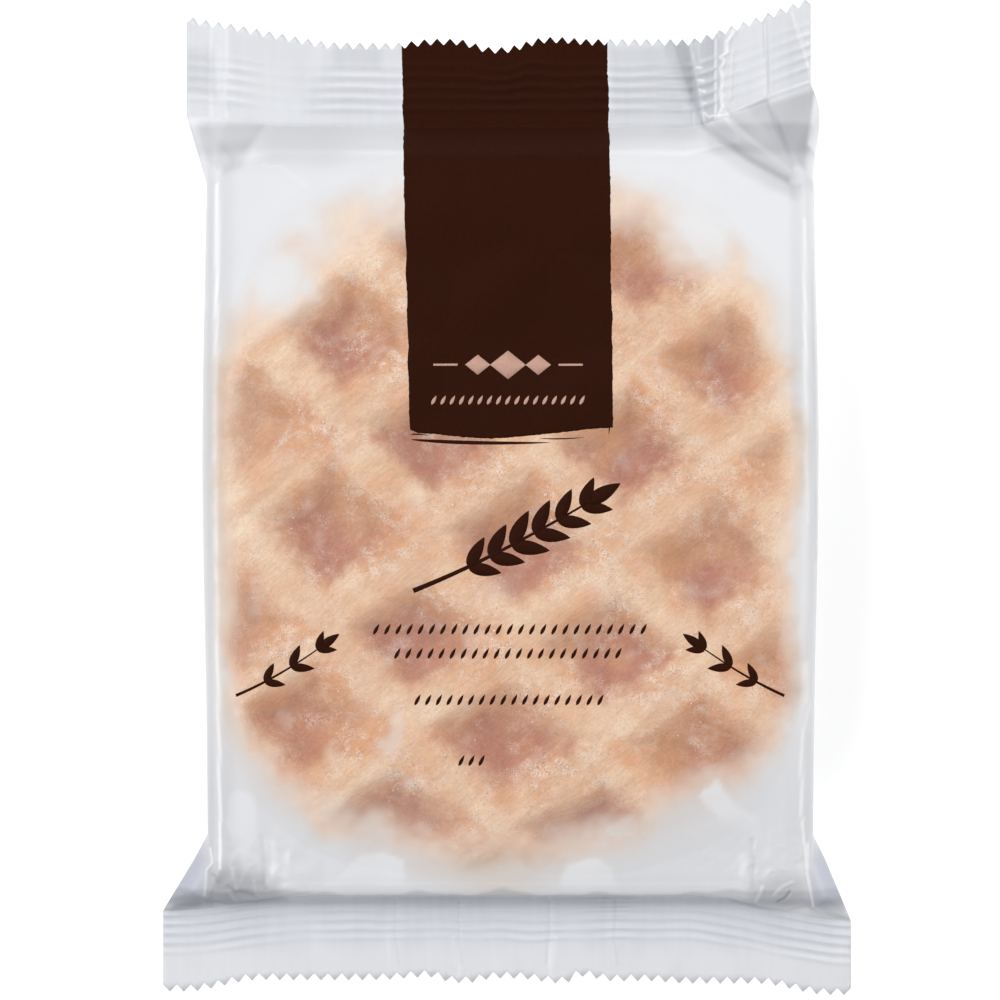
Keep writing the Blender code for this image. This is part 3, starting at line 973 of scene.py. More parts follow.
@dataclass
class FilmWrap:
    """The translucent film pack: two films sealed at both ends and down the back."""

    pack: PackShape
    waffle: WaffleShape
    finish: FilmFinish = FilmFinish()
    clear: float = 0.10
    milky: float = 0.96
    side_blur: float = 18.0
    end_blur: float = 44.0
    blur_change: Point = (38.0, 60.0)
    # Mottle of the film's veil: share, size and seed
    blotches: tuple[Triple, ...] = ((0.40, 13.0, 12.0), (0.35, 5.5, 13.0), (0.16, 2.2, 14.0))
    low_veil: Band = Band(0.13, (50.0, 66.0))
    left_veil: Band = Band(0.08, (46.0, 53.0))
    smears: Band = Band(0.16, (0.30, 0.60))
    tints: tuple[Patch, ...] = (
        Patch((240, 296), (20, 42), 0.50),
        Patch((262, 334), (46, 30), 0.36),
        Patch((346, 208), (34, 40), 0.30),
        Patch((292, 246), (34, 20), 0.26),
        Patch((738, 248), (15, 36), 0.40),
        Patch((766, 300), (22, 30), 0.22),
        Patch((640, 206), (40, 26), 0.08),
        Patch((490, 868), (80, 34), 0.20),
        Patch((399, 722), (10, 22), -0.50),
        Patch((389, 742), (13, 15), -0.60),
        Patch((688, 256), (44, 30), -0.24),
    )
    foot_glow: Patch = Patch((500, 874), (62, 27), 0.5)
    face_tone: str = "#EDEEF1"
    seal_tone: str = "#E4E6EA"
    # Colour that painted shade greys the film towards
    shade_tone: str = "#7F838B"
    lilac_tone: str = "#DADCEC"
    # Colour that painted highlights whiten the film towards
    highlight_tone: str = "#FFFFFF"
    warm_tone: str = "#EDE1D4"
    dough_tone: str = "#E3CDB9"
    warmth: float = 0.55
    crease_half: float = 2.4
    windows: tuple[tuple[Point, ...], ...] = (
        ((326, 888), (350, 863), (362, 852), (384, 850), (399, 855), (405, 857), (407, 888)),
        ((560, 886), (560, 872), (567, 861), (583, 857), (599, 854), (610, 865), (617, 888),
            (566, 890)),
        ((696, 793), (703, 785), (708, 784), (714, 777), (720, 782), (724, 790), (731, 800), (745, 809),
            (756, 816), (760, 832), (728, 832), (715, 812), (704, 802)),
        ((232, 793), (239, 787), (250, 789), (256, 798), (260, 830), (252, 852), (238, 852),
            (229, 822)),
    )
    # Painted highlight: the windows are painted this much lighter
    window_shade: float = -0.10
    # Painted shade of the end seals, of the face and of the slopes between them
    low_seal_foot: Band = Band(0.16, (70.0, 74.0), (76.5, 82.0))
    high_seal_foot: Band = Band(0.03, (72.5, 76.0))
    face_shade: float = 0.04
    low_face: Band = Band(0.15, (34.0, 62.0))
    left_rims: tuple[Band, Band] = (Band(0.10, (50.0, 54.0)), Band(0.16, (55.2, 56.4)))
    right_rim: Band = Band(0.09, (56.6, 57.6))
    high_slope: Band = Band(0.20, (64.0, 66.3), (70.2, 71.8))
    left_slope: Band = Band(0.11, (60.5, 64.0), (65.0, 66.3))
    left_stretch: Band = Band(1.0, (24.0, 36.0), (44.0, 50.0))
    low_arches: tuple[Triple, ...] = ((1.0, -16.0, 6.5), (1.5, -0.6, 7.5), (0.7, 15.6, 6.0))
    low_seal_line: Band = Band(0.16, (75.0, 76.3), (76.5, 77.6))
    # Painted shade of the film's folds, and painted highlights where the shade is below 0
    facets: tuple[Facet, ...] = (
        # Upper right: painted shade of the pleat, the strip beside it and the slopes under the lifted flap,
        # and a painted highlight at the flap's outer edge
        Facet(((664, 40), (691, 40), (697, 78), (706, 127), (698, 124), (675, 72)), 0.34, 7),
        Facet(((672, 40), (692, 40), (698, 80), (706, 127), (700, 122), (684, 76)), 0.20, 2.5),
        Facet(((692, 40), (724, 34), (721, 117), (706, 124), (698, 80)), 0.26, 1.5),
        Facet(((703, 124), (716, 118), (740, 136), (792, 176), (788, 186), (746, 163), (720, 143)),
            0.20, 5),
        Facet(((726, 117), (767, 98), (778, 128), (794, 164), (790, 172), (752, 142)), 0.26, 3.5),
        Facet(((748, 108), (768, 100), (774, 122), (768, 132), (754, 122)), 0.12, 5),
        Facet(((768, 104), (814, 91), (814, 130), (803, 170), (793, 166), (774, 130)), 0.34, 5),
        Facet(((703, 130), (792, 182), (792, 200), (770, 194), (738, 176), (708, 152)), 0.20, 7),
        Facet(((716, 118), (770, 100), (812, 84), (814, 190), (792, 198), (768, 184), (736, 158),
            (712, 134)), 0.18, 9),
        Facet(((813, 98), (824, 90), (824, 160), (806, 146)), -0.5, 3),
        Facet(((610, 48), (668, 46), (688, 118), (612, 118)), 0.17, 6),
        Facet(((600, 116), (690, 116), (702, 130), (690, 142), (600, 142)), 0.10, 8),
        Facet(((765, 20), (791, 12), (809, 82), (767, 97)), 0.09, 1),
        # Upper left: painted shade of the bent end of the seal and the dimple under it
        Facet(((184, 46), (212, 50), (216, 96), (184, 90)), 0.16, 6),
        Facet(((195, 119), (268, 123), (254, 148), (241, 169), (226, 176), (206, 160)), 0.18, 4),
        Facet(((222, 146), (254, 142), (244, 172), (230, 172)), 0.12, 7),
        Facet(((332, 42), (382, 42), (380, 70), (334, 68)), 0.12, 5),
        Facet(((330, 46), (402, 46), (402, 118), (300, 118)), 0.07, 8),
        # The right side: a band of painted shade, and a painted highlight lower down
        Facet(((788, 186), (800, 186), (801, 330), (799, 430), (791, 430), (788, 330)), 0.13, 3),
        Facet(((800, 664), (806, 661), (807, 700), (801, 705)), -0.6, 1.5),
        # Lower left: painted shade of the crumpled corner and the dog-ear's foot
        Facet(((214, 870), (238, 862), (266, 872), (282, 884), (282, 897), (232, 903), (212, 897)),
            0.37, 11),
        Facet(((176, 898), (192, 890), (206, 895), (200, 906), (170, 912)), 0.20, 3),
        # Lower right: the same, mirrored
        Facet(((750, 882), (778, 872), (802, 876), (806, 900), (782, 910), (752, 904)), 0.21, 11),
        Facet(((813, 904), (826, 897), (842, 906), (850, 920), (828, 914)), 0.18, 3),
    )
    # Creases of the film, raised or sunk as real relief, each with a painted highlight or painted shade
    # along it
    folds: tuple[Fold, ...] = (
        Fold(((692, 46), (698, 82), (706, 124)), 0.35, 0.15, 2.5),
        Fold(((734, 33), (727, 43), (727, 54), (720, 58), (724, 62), (720, 70), (722, 80), (720, 94),
            (722, 108), (718, 117)), 0.55, 0.85, 2.6),
        Fold(((718, 117), (728, 116), (723, 107)), 0.5, 0.6, 2.2),
        Fold(((732, 50), (730, 100)), 0.2, 0.25, 2),
        Fold(((727, 116), (767, 98), (810, 84)), 0.2, 0.06, 3),
        Fold(((697, 67), (701, 67.5)), 0.2, 0.9, 2),
        Fold(((699, 80), (703, 80.5)), 0.2, 0.8, 2),
        Fold(((700, 90), (705, 91.5)), 0.2, 0.8, 2),
        Fold(((703, 103), (706, 103)), 0.2, 0.8, 1.8),
        Fold(((705, 113), (709, 117), (716, 115), (721, 118)), 0.25, 0.8, 1.9),
        Fold(((764, 24), (766, 58), (767, 96)), -0.3, -0.12, 2.2),
        Fold(((791, 14), (800, 46), (810, 82)), 0.35, 0.6, 2),
        Fold(((705, 126), (721, 142), (746, 162), (786, 184)), -0.45, -0.10, 6),
        Fold(((767, 98), (776, 128), (794, 164)), 0.10, 0, 5),
        Fold(((216, 48), (219, 84), (226, 106)), 0.3, 0, 6),
        Fold(((265, 168), (284, 170), (308, 189)), 0.08, 0.10, 2.5),
        Fold(((219.5, 186), (219, 318)), 0.10, 1.1, 2.4),
        Fold(((219, 318), (218.5, 470), (219, 640), (222, 800), (222, 866)), 0.05, 0.45, 2.2),
        Fold(((802, 222), (803.5, 368)), 0.10, 1, 2.6),
        Fold(((803.5, 368), (804.5, 520)), 0.05, 0.4, 2.2),
        Fold(((810, 252), (813, 420), (814, 560)), -0.05, -0.14, 2),
        Fold(((807, 704), (799, 742), (799, 806), (805, 866)), 0.05, 0.45, 2),
        Fold(((204, 126), (224, 150), (238, 168)), -0.2, -0.04, 5),
        Fold(((238, 168), (252, 148), (268, 124)), 0.15, 0.05, 4),
        Fold(((264, 836), (265, 862), (266, 886)), -0.15, -0.10, 5),
        Fold(((275, 842), (276, 864), (272, 882)), 0.12, 0.10, 6),
        Fold(((215, 873), (221, 881)), -0.3, -0.10, 2.6),
        Fold(((230, 884), (237, 889), (246, 889), (258, 894)), -0.3, -0.10, 3.4),
        Fold(((256, 878), (259, 893)), 0.35, 0.14, 2.6),
        Fold(((236, 866), (239, 886)), 0.35, 0.10, 3),
        Fold(((231, 888), (238, 900)), 0.35, 0.18, 2.4),
        Fold(((212, 846), (214, 861), (208, 868), (206, 894)), 0.25, 0.42, 1.6),
        Fold(((208, 898), (232, 902), (258, 900), (310, 890)), -0.3, -0.12, 3),
        Fold(((395.5, 900), (396, 938), (399, 966)), -0.10, -0.10, 2.4),
        Fold(((389, 940), (391, 966)), 0.1, 0.10, 3),
        Fold(((459, 900), (459, 934), (462, 964)), -0.10, -0.10, 2.4),
        Fold(((453, 938), (455, 966)), 0.1, 0.10, 3),
        Fold(((550, 900), (549, 936), (546, 964)), -0.10, -0.10, 2.4),
        Fold(((556, 938), (554, 966)), 0.1, 0.10, 3),
        Fold(((615, 900), (614, 936), (618, 966)), -0.10, -0.10, 2.4),
        Fold(((750, 838), (751, 864), (750, 886)), -0.15, -0.10, 5),
        Fold(((742, 856), (742, 874)), 0.12, 0.10, 7),
        Fold(((777, 899), (783, 896), (788, 889)), -0.5, -0.20, 2.6),
        Fold(((755, 900), (761, 885)), 0.45, 0.22, 3),
        Fold(((772, 893), (781, 884), (790, 880)), 0.35, 0.15, 2.6),
        Fold(((806, 842), (805, 872), (812, 904)), 0.3, 0.6, 1.7),
        Fold(((730, 899), (760, 907), (784, 910), (806, 904), (816, 911), (850, 921)), -0.3, -0.12, 3),
    )

    def row_place(self, row: float) -> tuple[Region, float]:
        """Return the stretch of film and the share of it at a mesh row, from the lower edge up.

        Args:
            row: The mesh row, from the lower edge up.

        Returns:
            The stretch, and the share of it.
        """
        first = 0.0
        for region in Region:
            if row < first + region.value - 1e-4:
                return region, (row - first) / region.value
            first += region.value
        return Region.HIGH_HEM, 1.0

    def window(self, px: float, py: float) -> float:
        """Return 1 inside the sharp-edged patches where the film stands off the waffle's rim.

        Args:
            px: The column in the photograph's frame.
            py: The row in the photograph's frame.

        Returns:
            The share, from 0 to 1.
        """
        inside = 0.0
        for outline in self.windows:
            top, foot = min(corner[1] for corner in outline), max(corner[1] for corner in outline)
            if abs(px - outline[0][0]) < 100.0 and top - 8.0 < py < foot + 8.0:
                cover = ease(inside_by(outline, px, py) + 2.0 * rough(px, py, 16.0, 9.0), -2.5, 2.5)
                inside = max(inside, cover * (1.0 - 0.9 * ease(py, mix(foot, top, 0.45), foot)))
        return inside

    def haze(self, x: float, y: float, region: Region, side: Side) -> float:
        """Return how milky the film looks at a place: 0 is clear, 1 is solid.

        Args:
            x: Place across the pack in millimetres.
            y: Place along the pack.
            region: Stretch of the film.
            side: Front or back film.

        Returns:
            The film's cover.
        """
        if region not in (Region.FACE, Region.LOW_END):
            return self.milky
        px, py = pixel(x, y)
        blur = mix(self.side_blur, self.end_blur, ease(abs(y + 4.0), *self.blur_change))
        blotch = sum(share * rough(x, y, size, seed) for share, size, seed in self.blotches)
        veil = mix(self.milky, self.clear, ease(self.pack.touch_depth(x, y) / blur + blotch, -1.0, 1.0))
        veil += self.low_veil.at(-y) + self.left_veil.at(-x)
        veil = min(self.milky, veil + self.smears.at(rough(x, y, 5.0, 40.0)))
        if side is Side.FRONT:
            veil -= sum(patch.at(px, py, 0.6 * blotch) for patch in self.tints)
            veil = mix(max(self.clear, veil), self.milky, 0.9 * self.window(px, py))
        free = max(4.5 * ease(abs(x), 50.0, 55.0), 2.0 - 2.0 * ease(abs(x + 2.0), 10.0, 24.0))
        return mix(self.milky, veil, ease(self.waffle.inset(x, y) + free, 0.5, 6.0))

    def glow(self, x: float, y: float) -> float:
        """Return how much the film takes on the colour of the dough close under it.

        Args:
            x: The place across the pack in mm.
            y: The place along the pack in mm.

        Returns:
            The share, from 0 to 1.
        """
        px, py = pixel(x, y)
        reach = 22.0 + 18.0 * ease(y, 20.0, 40.0) + 24.0 * ease(-y, 36.0, 54.0)
        beside = 0.28 + 0.10 * ease(-y, 30.0, 48.0)
        beside *= 1.0 - ease(-self.pack.touch_depth(x, y), 2.0, reach)
        return max(self.foot_glow.at(px, py), beside) * (1.0 - self.window(px, py))

    def tone(self, x: float, y: float, region: Region, side: Side) -> tuple[Vector, float]:
        """Return the film's colour, with its painted shade and painted highlights, and the height of its
        creases at a place.

        Args:
            x: Place across the pack in millimetres.
            y: Place along the pack.
            region: Stretch of the film.
            side: Front or back film.

        Returns:
            Linear colour and millimetres of rise.
        """
        sealed = region not in (Region.FACE, Region.LOW_END, Region.HIGH_END)
        colour = tint(self.seal_tone if sealed else self.face_tone)
        shade, rise = 0.0, 0.0
        if sealed:
            # A random mottle of the seals, then painted shade: over the lower seal, least at its outer hem
            # and most next to the body, and a little over the upper seal
            shade += 0.05 * rough(x, y * 0.6, 6.0, 22.0) + 0.04 * rough(x, y * 0.1, 1.1, 23.0)
            hem = ease(-y, 70.0, 74.0) * (1.0 - 0.8 * ease(-y, 84.0, 88.0))
            shade += (0.05 + 0.04 * ease(abs(x), 30.0, 50.0)) * hem
            shade += self.low_seal_foot.at(-y) + self.high_seal_foot.at(y)
        else:
            if side is Side.FRONT:
                colour = colour.lerp(tint(self.dough_tone), self.glow(x, y))
            # Painted shade down the left side, towards the bottom and along the right rim of the face, and
            # painted light on its upper right
            beside = sum(band.at(-x) for band in self.left_rims)
            shade += self.low_face.at(-y) + beside * (1.0 - ease(y, 62.0, 69.0))
            lit = 0.11 * ease(x, 0.0, 45.0) * ease(y, 20.0, 50.0)
            shade += self.right_rim.at(x) + self.face_shade - lit
        # Painted shade on the slope under the upper seal and on the fold above the lower seal
        left = self.left_stretch.at(-x)
        shade += self.high_slope.at(y) * (1.0 + 0.5 * left) + self.left_slope.at(y) * left
        shade += self.low_fold_shade(x, y)
        if side is Side.FRONT:
            px, py = pixel(x, y)
            # Painted shade and highlights of the facets, the lighter windows and the folds
            shade += sum(facet.shade * facet.cover(px, py) for facet in self.facets)
            shade += self.window_shade * self.window(px, py)
            for fold in self.folds:
                cover = fold.cover(px, py)
                rise += fold.rise * cover
                shade -= fold.painted_gleam * cover
            ears = ease(abs(x), 56.0, 59.0) * ease(-y, 64.0, 70.0) * (1.0 - ease(-y, 76.0, 79.0))
            foot = 0.25 * ease(-y, 75.0, 78.0) * (1.0 - ease(-y, 83.0, 86.0)) if sealed else 0.0
            colour = colour.lerp(tint(self.lilac_tone), 0.8 * ears + foot)
        # Painted shade greys the colour; painted highlights, where the shade is below 0, whiten it
        if shade > 0.0:
            return colour.lerp(tint(self.shade_tone), min(0.9, shade)), rise
        return colour.lerp(tint(self.highlight_tone), min(1.0, -shade)), rise

    def low_fold_shade(self, x: float, y: float) -> float:
        """Return the painted shade of the fold above the lower seal: a dark arched line, with painted light
        just above.

        Args:
            x: The place across the pack in mm.
            y: The place along the pack in mm.

        Returns:
            The shade, above 0 where it is dark.
        """
        arches = sum(rise * bump_at(x, middle, reach) for rise, middle, reach in self.low_arches)
        down = -y + arches + 1.0 * ease(abs(x), 30.0, 39.0) + 0.8 * rough(x, 0.0, 4.0, 27.0)
        line = 0.20 * ease(down, 74.6, 75.6) * (1.0 - ease(-y, 76.8, 78.8))
        lit = 0.12 * ease(-y, 72.0, 73.4) * (1.0 - ease(down, 74.4, 75.6))
        lit *= 1.0 - ease(abs(x), 42.0, 52.0)
        return line - lit + self.low_seal_line.at(-y)

    def beside_crease(self, share: float) -> bool:
        """Tell whether a column of the lower seal runs beside one of its creases."""
        x = self.pack.seal_x(share, False)
        return min(abs(x - at) for at in self.pack.crease_places) < self.crease_half

    def refine(self, mesh: bmesh.types.BMesh, rows: int) -> None:
        """Halve the mesh of the front film, and once more where it has sharp folds.

        Args:
            mesh: The double sheet, from -1 to 1 both ways, with the front film at height 1.
            rows: Number of coarse rows along it.
        """
        def split(keep: Callable[[float, float], bool]) -> None:
            """Split the front film's edges whose both ends are kept.

            Args:
                keep: Tells from x and the mesh row whether a place is kept.
            """
            edges = [edge for edge in mesh.edges
                     if all(v.co.z > 0.5 and keep(v.co.x, (v.co.y + 1.0) * 0.5 * rows) for v in edge.verts)]
            bmesh.ops.subdivide_edges(mesh, edges=edges, cuts=1, use_grid_fill=True)

        low = Region.LOW_HEM.value
        face = low + Region.LOW_RIBS.value + Region.LOW_END.value
        high = rows - Region.HIGH_HEM.value - Region.HIGH_RIBS.value - Region.HIGH_END.value
        split(lambda share, row: True)
        # The upper right flap, both lower corners, and the creases across the lower seal
        split(lambda share, row: (share > 0.50 and row > high - 3)
              or (abs(share) > 0.64 and low + 9 < row < face + 8)
              or (abs(share) < 0.36 and row < face - 5 and self.beside_crease(share)))

    def build(self) -> bpy.types.Object:
        """Build the film as one closed surface that carries the attributes haze and tone, whose colour holds
        painted shade and painted highlights.

        Returns:
            The film's object.
        """
        rows = sum(region.value for region in Region)
        mesh = double_sheet(2 * self.pack.teeth, rows)
        self.refine(mesh, rows)
        mesh.verts.layers.float.new("haze")
        tone = mesh.verts.layers.float_color.new("tone")
        haze = mesh.verts.layers.float["haze"]
        for vert in mesh.verts:
            share, row = vert.co.x, (vert.co.y + 1.0) * 0.5 * rows
            region, step = self.row_place(row)
            side = side_of(vert)
            x, y, z = self.pack.film_point(share, region, step, side)
            colour, rise = self.tone(x, y, region, side)
            veil = self.haze(x, y, region, side)
            half_clear = math.sin(math.pi * within((veil - self.clear) / (self.milky - self.clear)))
            colour = colour.lerp(tint(self.warm_tone), self.warmth * half_clear)
            vert[haze] = veil
            vert[tone] = (*colour, 1.0)
            if min(row, rows - row) < 0.01:
                y += math.copysign(self.pack.tooth(share), y)
            vert.co = self.pack.place(x, y, z + rise)
        bmesh.ops.recalc_face_normals(mesh, faces=list(mesh.faces))
        piece = finish_mesh(mesh, "film_wrap", self.finish.build())
        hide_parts("waffle_pack")
        return piece


@dataclass
class Waffle:
    """The oval waffle, with pits on both faces and sugar on its crust."""

    shape: WaffleShape
    finish: CrustFinish = CrustFinish()
    cells: int = 210
    grains: int = 900
    grain_sides: int = 1
    seed: int = 7
    grain_batch: int = 80
    front_share: float = 0.75
    # A grain's least radius, how much its size varies, and what a rare big one has more
    grain_radius: Triple = (0.11, 0.17, 0.25)
    rare_share: float = 0.01
    grain_gap: float = 0.05
    rim_gap: float = 3.0
    # Direction of the crust's pale streaks, and their length and width
    streak: Point = (0.766, 0.643)
    streak_size: Point = (24.0, 3.0)
    edge_reach: Point = (0.94, 0.70)
    LOOKS: ClassVar[tuple[str, ...]] = ("bake", "rosy", "cream", "blush", "frost")

    def looks(self, x: float, y: float) -> dict[str, float]:
        """Return how baked, rosy, creamy, blushed and sugary the crust is at a place, each from 0 to 1.

        Args:
            x: Place across the pack in millimetres.
            y: Place along the pack.

        Returns:
            Attribute name to value.
        """
        across, up = self.shape.cell(x - 0.2, y + 1.5)
        edge = abs(across) / self.edge_reach[0] + abs(up) / self.edge_reach[1]
        edge += 0.16 * rough(x, y, 3.2, 17.0) + 0.07 * rough(x, y, 1.3, 20.0)
        pit = 1.0 - ease(edge, 0.52, 1.00)
        wall = bump_at(edge, 0.86, 0.5)
        along = (x * self.streak[0] + y * self.streak[1]) / self.streak_size[0]
        beside = (x * self.streak[1] - y * self.streak[0]) / self.streak_size[1]
        streak = noise.noise(Vector((along, beside, 21.0)))
        slope = mix(-0.6, 0.6, ease(x, -45.0, 45.0)) * across + mix(-0.75, 0.6, ease(-y, 44.0, 58.0)) * up
        slope += 0.4 * rough(x, y, 7.0, 15.0)
        low = ease(-y, 10.0, 40.0)
        rim = (1.0 - ease(self.shape.inset(x, y), 4.0, 19.0)) * (1.0 - 0.5 * low)
        clear = ease(self.shape.pack.touch_depth(x, y), mix(-6.0, -44.0, low), mix(36.0, 12.0, low))
        bake = pit * (1.00 - 0.20 * rough(x, y, 17.0, 14.0)) * (1.0 - 0.4 * rim) * mix(0.15, 1.0, clear)
        bake += 0.10 * rough(x, y, 5.0, 18.0)
        rosy = ease(slope, -0.45, 0.15) * (1.0 - 0.9 * ease(edge, 0.42, 0.98)) * clear * (1.0 - 0.7 * rim)
        cream = 0.16 + 0.8 * streak + 0.7 * rough(x, y, 12.0, 19.0) + 0.2 * rim + 0.4 * (1.0 - clear)
        blush = 0.62 * wall * ease(-slope, -0.5, 0.3) + 0.9 * rough(x, y, 6.0, 24.0) + 0.5 * streak
        frost = 0.28 + 0.5 * wall * ease(across + 0.35 * up, -0.2, 0.4) + 0.8 * rough(x, y, 8.0, 16.0)
        frost += 0.35 * rough(x, y, 2.6, 25.0)
        values = (bake, rosy, cream, blush * mix(0.2, 1.0, clear), frost * mix(0.5, 1.0, clear))
        return {name: within(value) for name, value in zip(self.LOOKS, values)}

    def build_crust(self) -> bpy.types.Object:
        """Build the waffle's body, mapped from a square grid to its oval.

        Returns:
            The crust's object.
        """
        mesh = double_sheet(self.cells, self.cells)
        for name in self.LOOKS:
            mesh.verts.layers.float.new(name)
        layers = {name: mesh.verts.layers.float[name] for name in self.LOOKS}
        for vert in mesh.verts:
            side = side_of(vert)
            u, v = vert.co.x, vert.co.y
            dx, dy = u * math.sqrt(1.0 - 0.5 * v * v), v * math.sqrt(1.0 - 0.5 * u * u)
            angle = math.atan2(dy, dx)
            reach = self.shape.outline(angle) * min(1.0, math.hypot(dx, dy))
            x = self.shape.middle[0] + reach * math.cos(angle)
            y = self.shape.middle[1] + reach * math.sin(angle)
            for name, value in self.looks(x, y).items():
                vert[layers[name]] = value
            vert.co = self.shape.pack.place(x, y, self.shape.height(x, y, side))
        return finish_mesh(mesh, "waffle_crust", self.finish.build())

    def grain_places(self) -> list[tuple[Vector, float]]:
        """Draw the places and radii of the sugar grains, seeded so that they stay the same.

        Returns:
            Pairs of a place and a radius.
        """
        draw = random.Random(self.seed)
        places: list[tuple[Vector, float]] = []
        while len(places) < self.grains:
            x = self.shape.middle[0] + draw.uniform(-1.0, 1.0) * self.shape.half[0]
            y = self.shape.middle[1] + draw.uniform(-1.0, 1.0) * self.shape.half[1]
            side = Side.FRONT if draw.random() < self.front_share else Side.BACK
            keep = self.looks(x, y)["frost"] ** 3
            if self.shape.inset(x, y) < self.rim_gap or draw.random() > keep:
                continue
            least, spread, rare = self.grain_radius
            radius = least + spread * draw.random() ** 2 + (rare if draw.random() < self.rare_share else 0.0)
            z = self.shape.height(x, y, side) + side.value * 0.25 * radius
            if side is Side.FRONT:
                z = min(z, self.shape.pack.film_height(x, y) - radius - self.grain_gap)
            else:
                z = max(z, radius + self.grain_gap)
            places.append((self.shape.pack.place(x, y, z), radius * MM))
        return places

    def build_sugar(self) -> bpy.types.Object:
        """Build the sugar grains as one joined mesh of small uneven lumps.

        Returns:
            The grains' object.
        """
        draw = random.Random(self.seed + 1)
        whole = bmesh.new()
        places = self.grain_places()
        for first in range(0, len(places), self.grain_batch):
            part = bmesh.new()
            for centre, radius in places[first:first + self.grain_batch]:
                turn = Euler([draw.uniform(0.0, math.tau) for _ in range(3)]).to_matrix().to_4x4()
                shape = Matrix.Diagonal([radius * draw.uniform(0.7, 1.3) for _ in range(3)]).to_4x4()
                bmesh.ops.create_icosphere(part, subdivisions=self.grain_sides, radius=1.0,
                                           matrix=Matrix.Translation(centre) @ turn @ shape)
            data = bpy.data.meshes.new("sugar_batch")
            part.to_mesh(data)
            part.free()
            whole.from_mesh(data)
            bpy.data.meshes.remove(data)
        return finish_mesh(whole, "sugar_grains", PEARL_SUGAR.build())


def layered_grid(mesh: bmesh.types.BMesh, columns: int, rows: int) -> list[list[bmesh.types.BMVert]]:
    """Add a thin closed patch to a bmesh, made of two square sheets of one grid.

    Args:
        mesh: The bmesh that the patch joins.
        columns: Number of columns.
        rows: Number of rows.

    Returns:
        The vertices of the lower and those of the upper sheet, from -1 to 1 both ways.
    """
    lower = bmesh.ops.create_grid(mesh, x_segments=columns, y_segments=rows, size=1.0)["verts"]
    faces = list(dict.fromkeys(face for vert in lower for face in vert.link_faces))
    raised = bmesh.ops.extrude_face_region(mesh, geom=faces, use_keep_orig=True)["geom"]
    return [lower, [item for item in raised if isinstance(item, bmesh.types.BMVert)]]


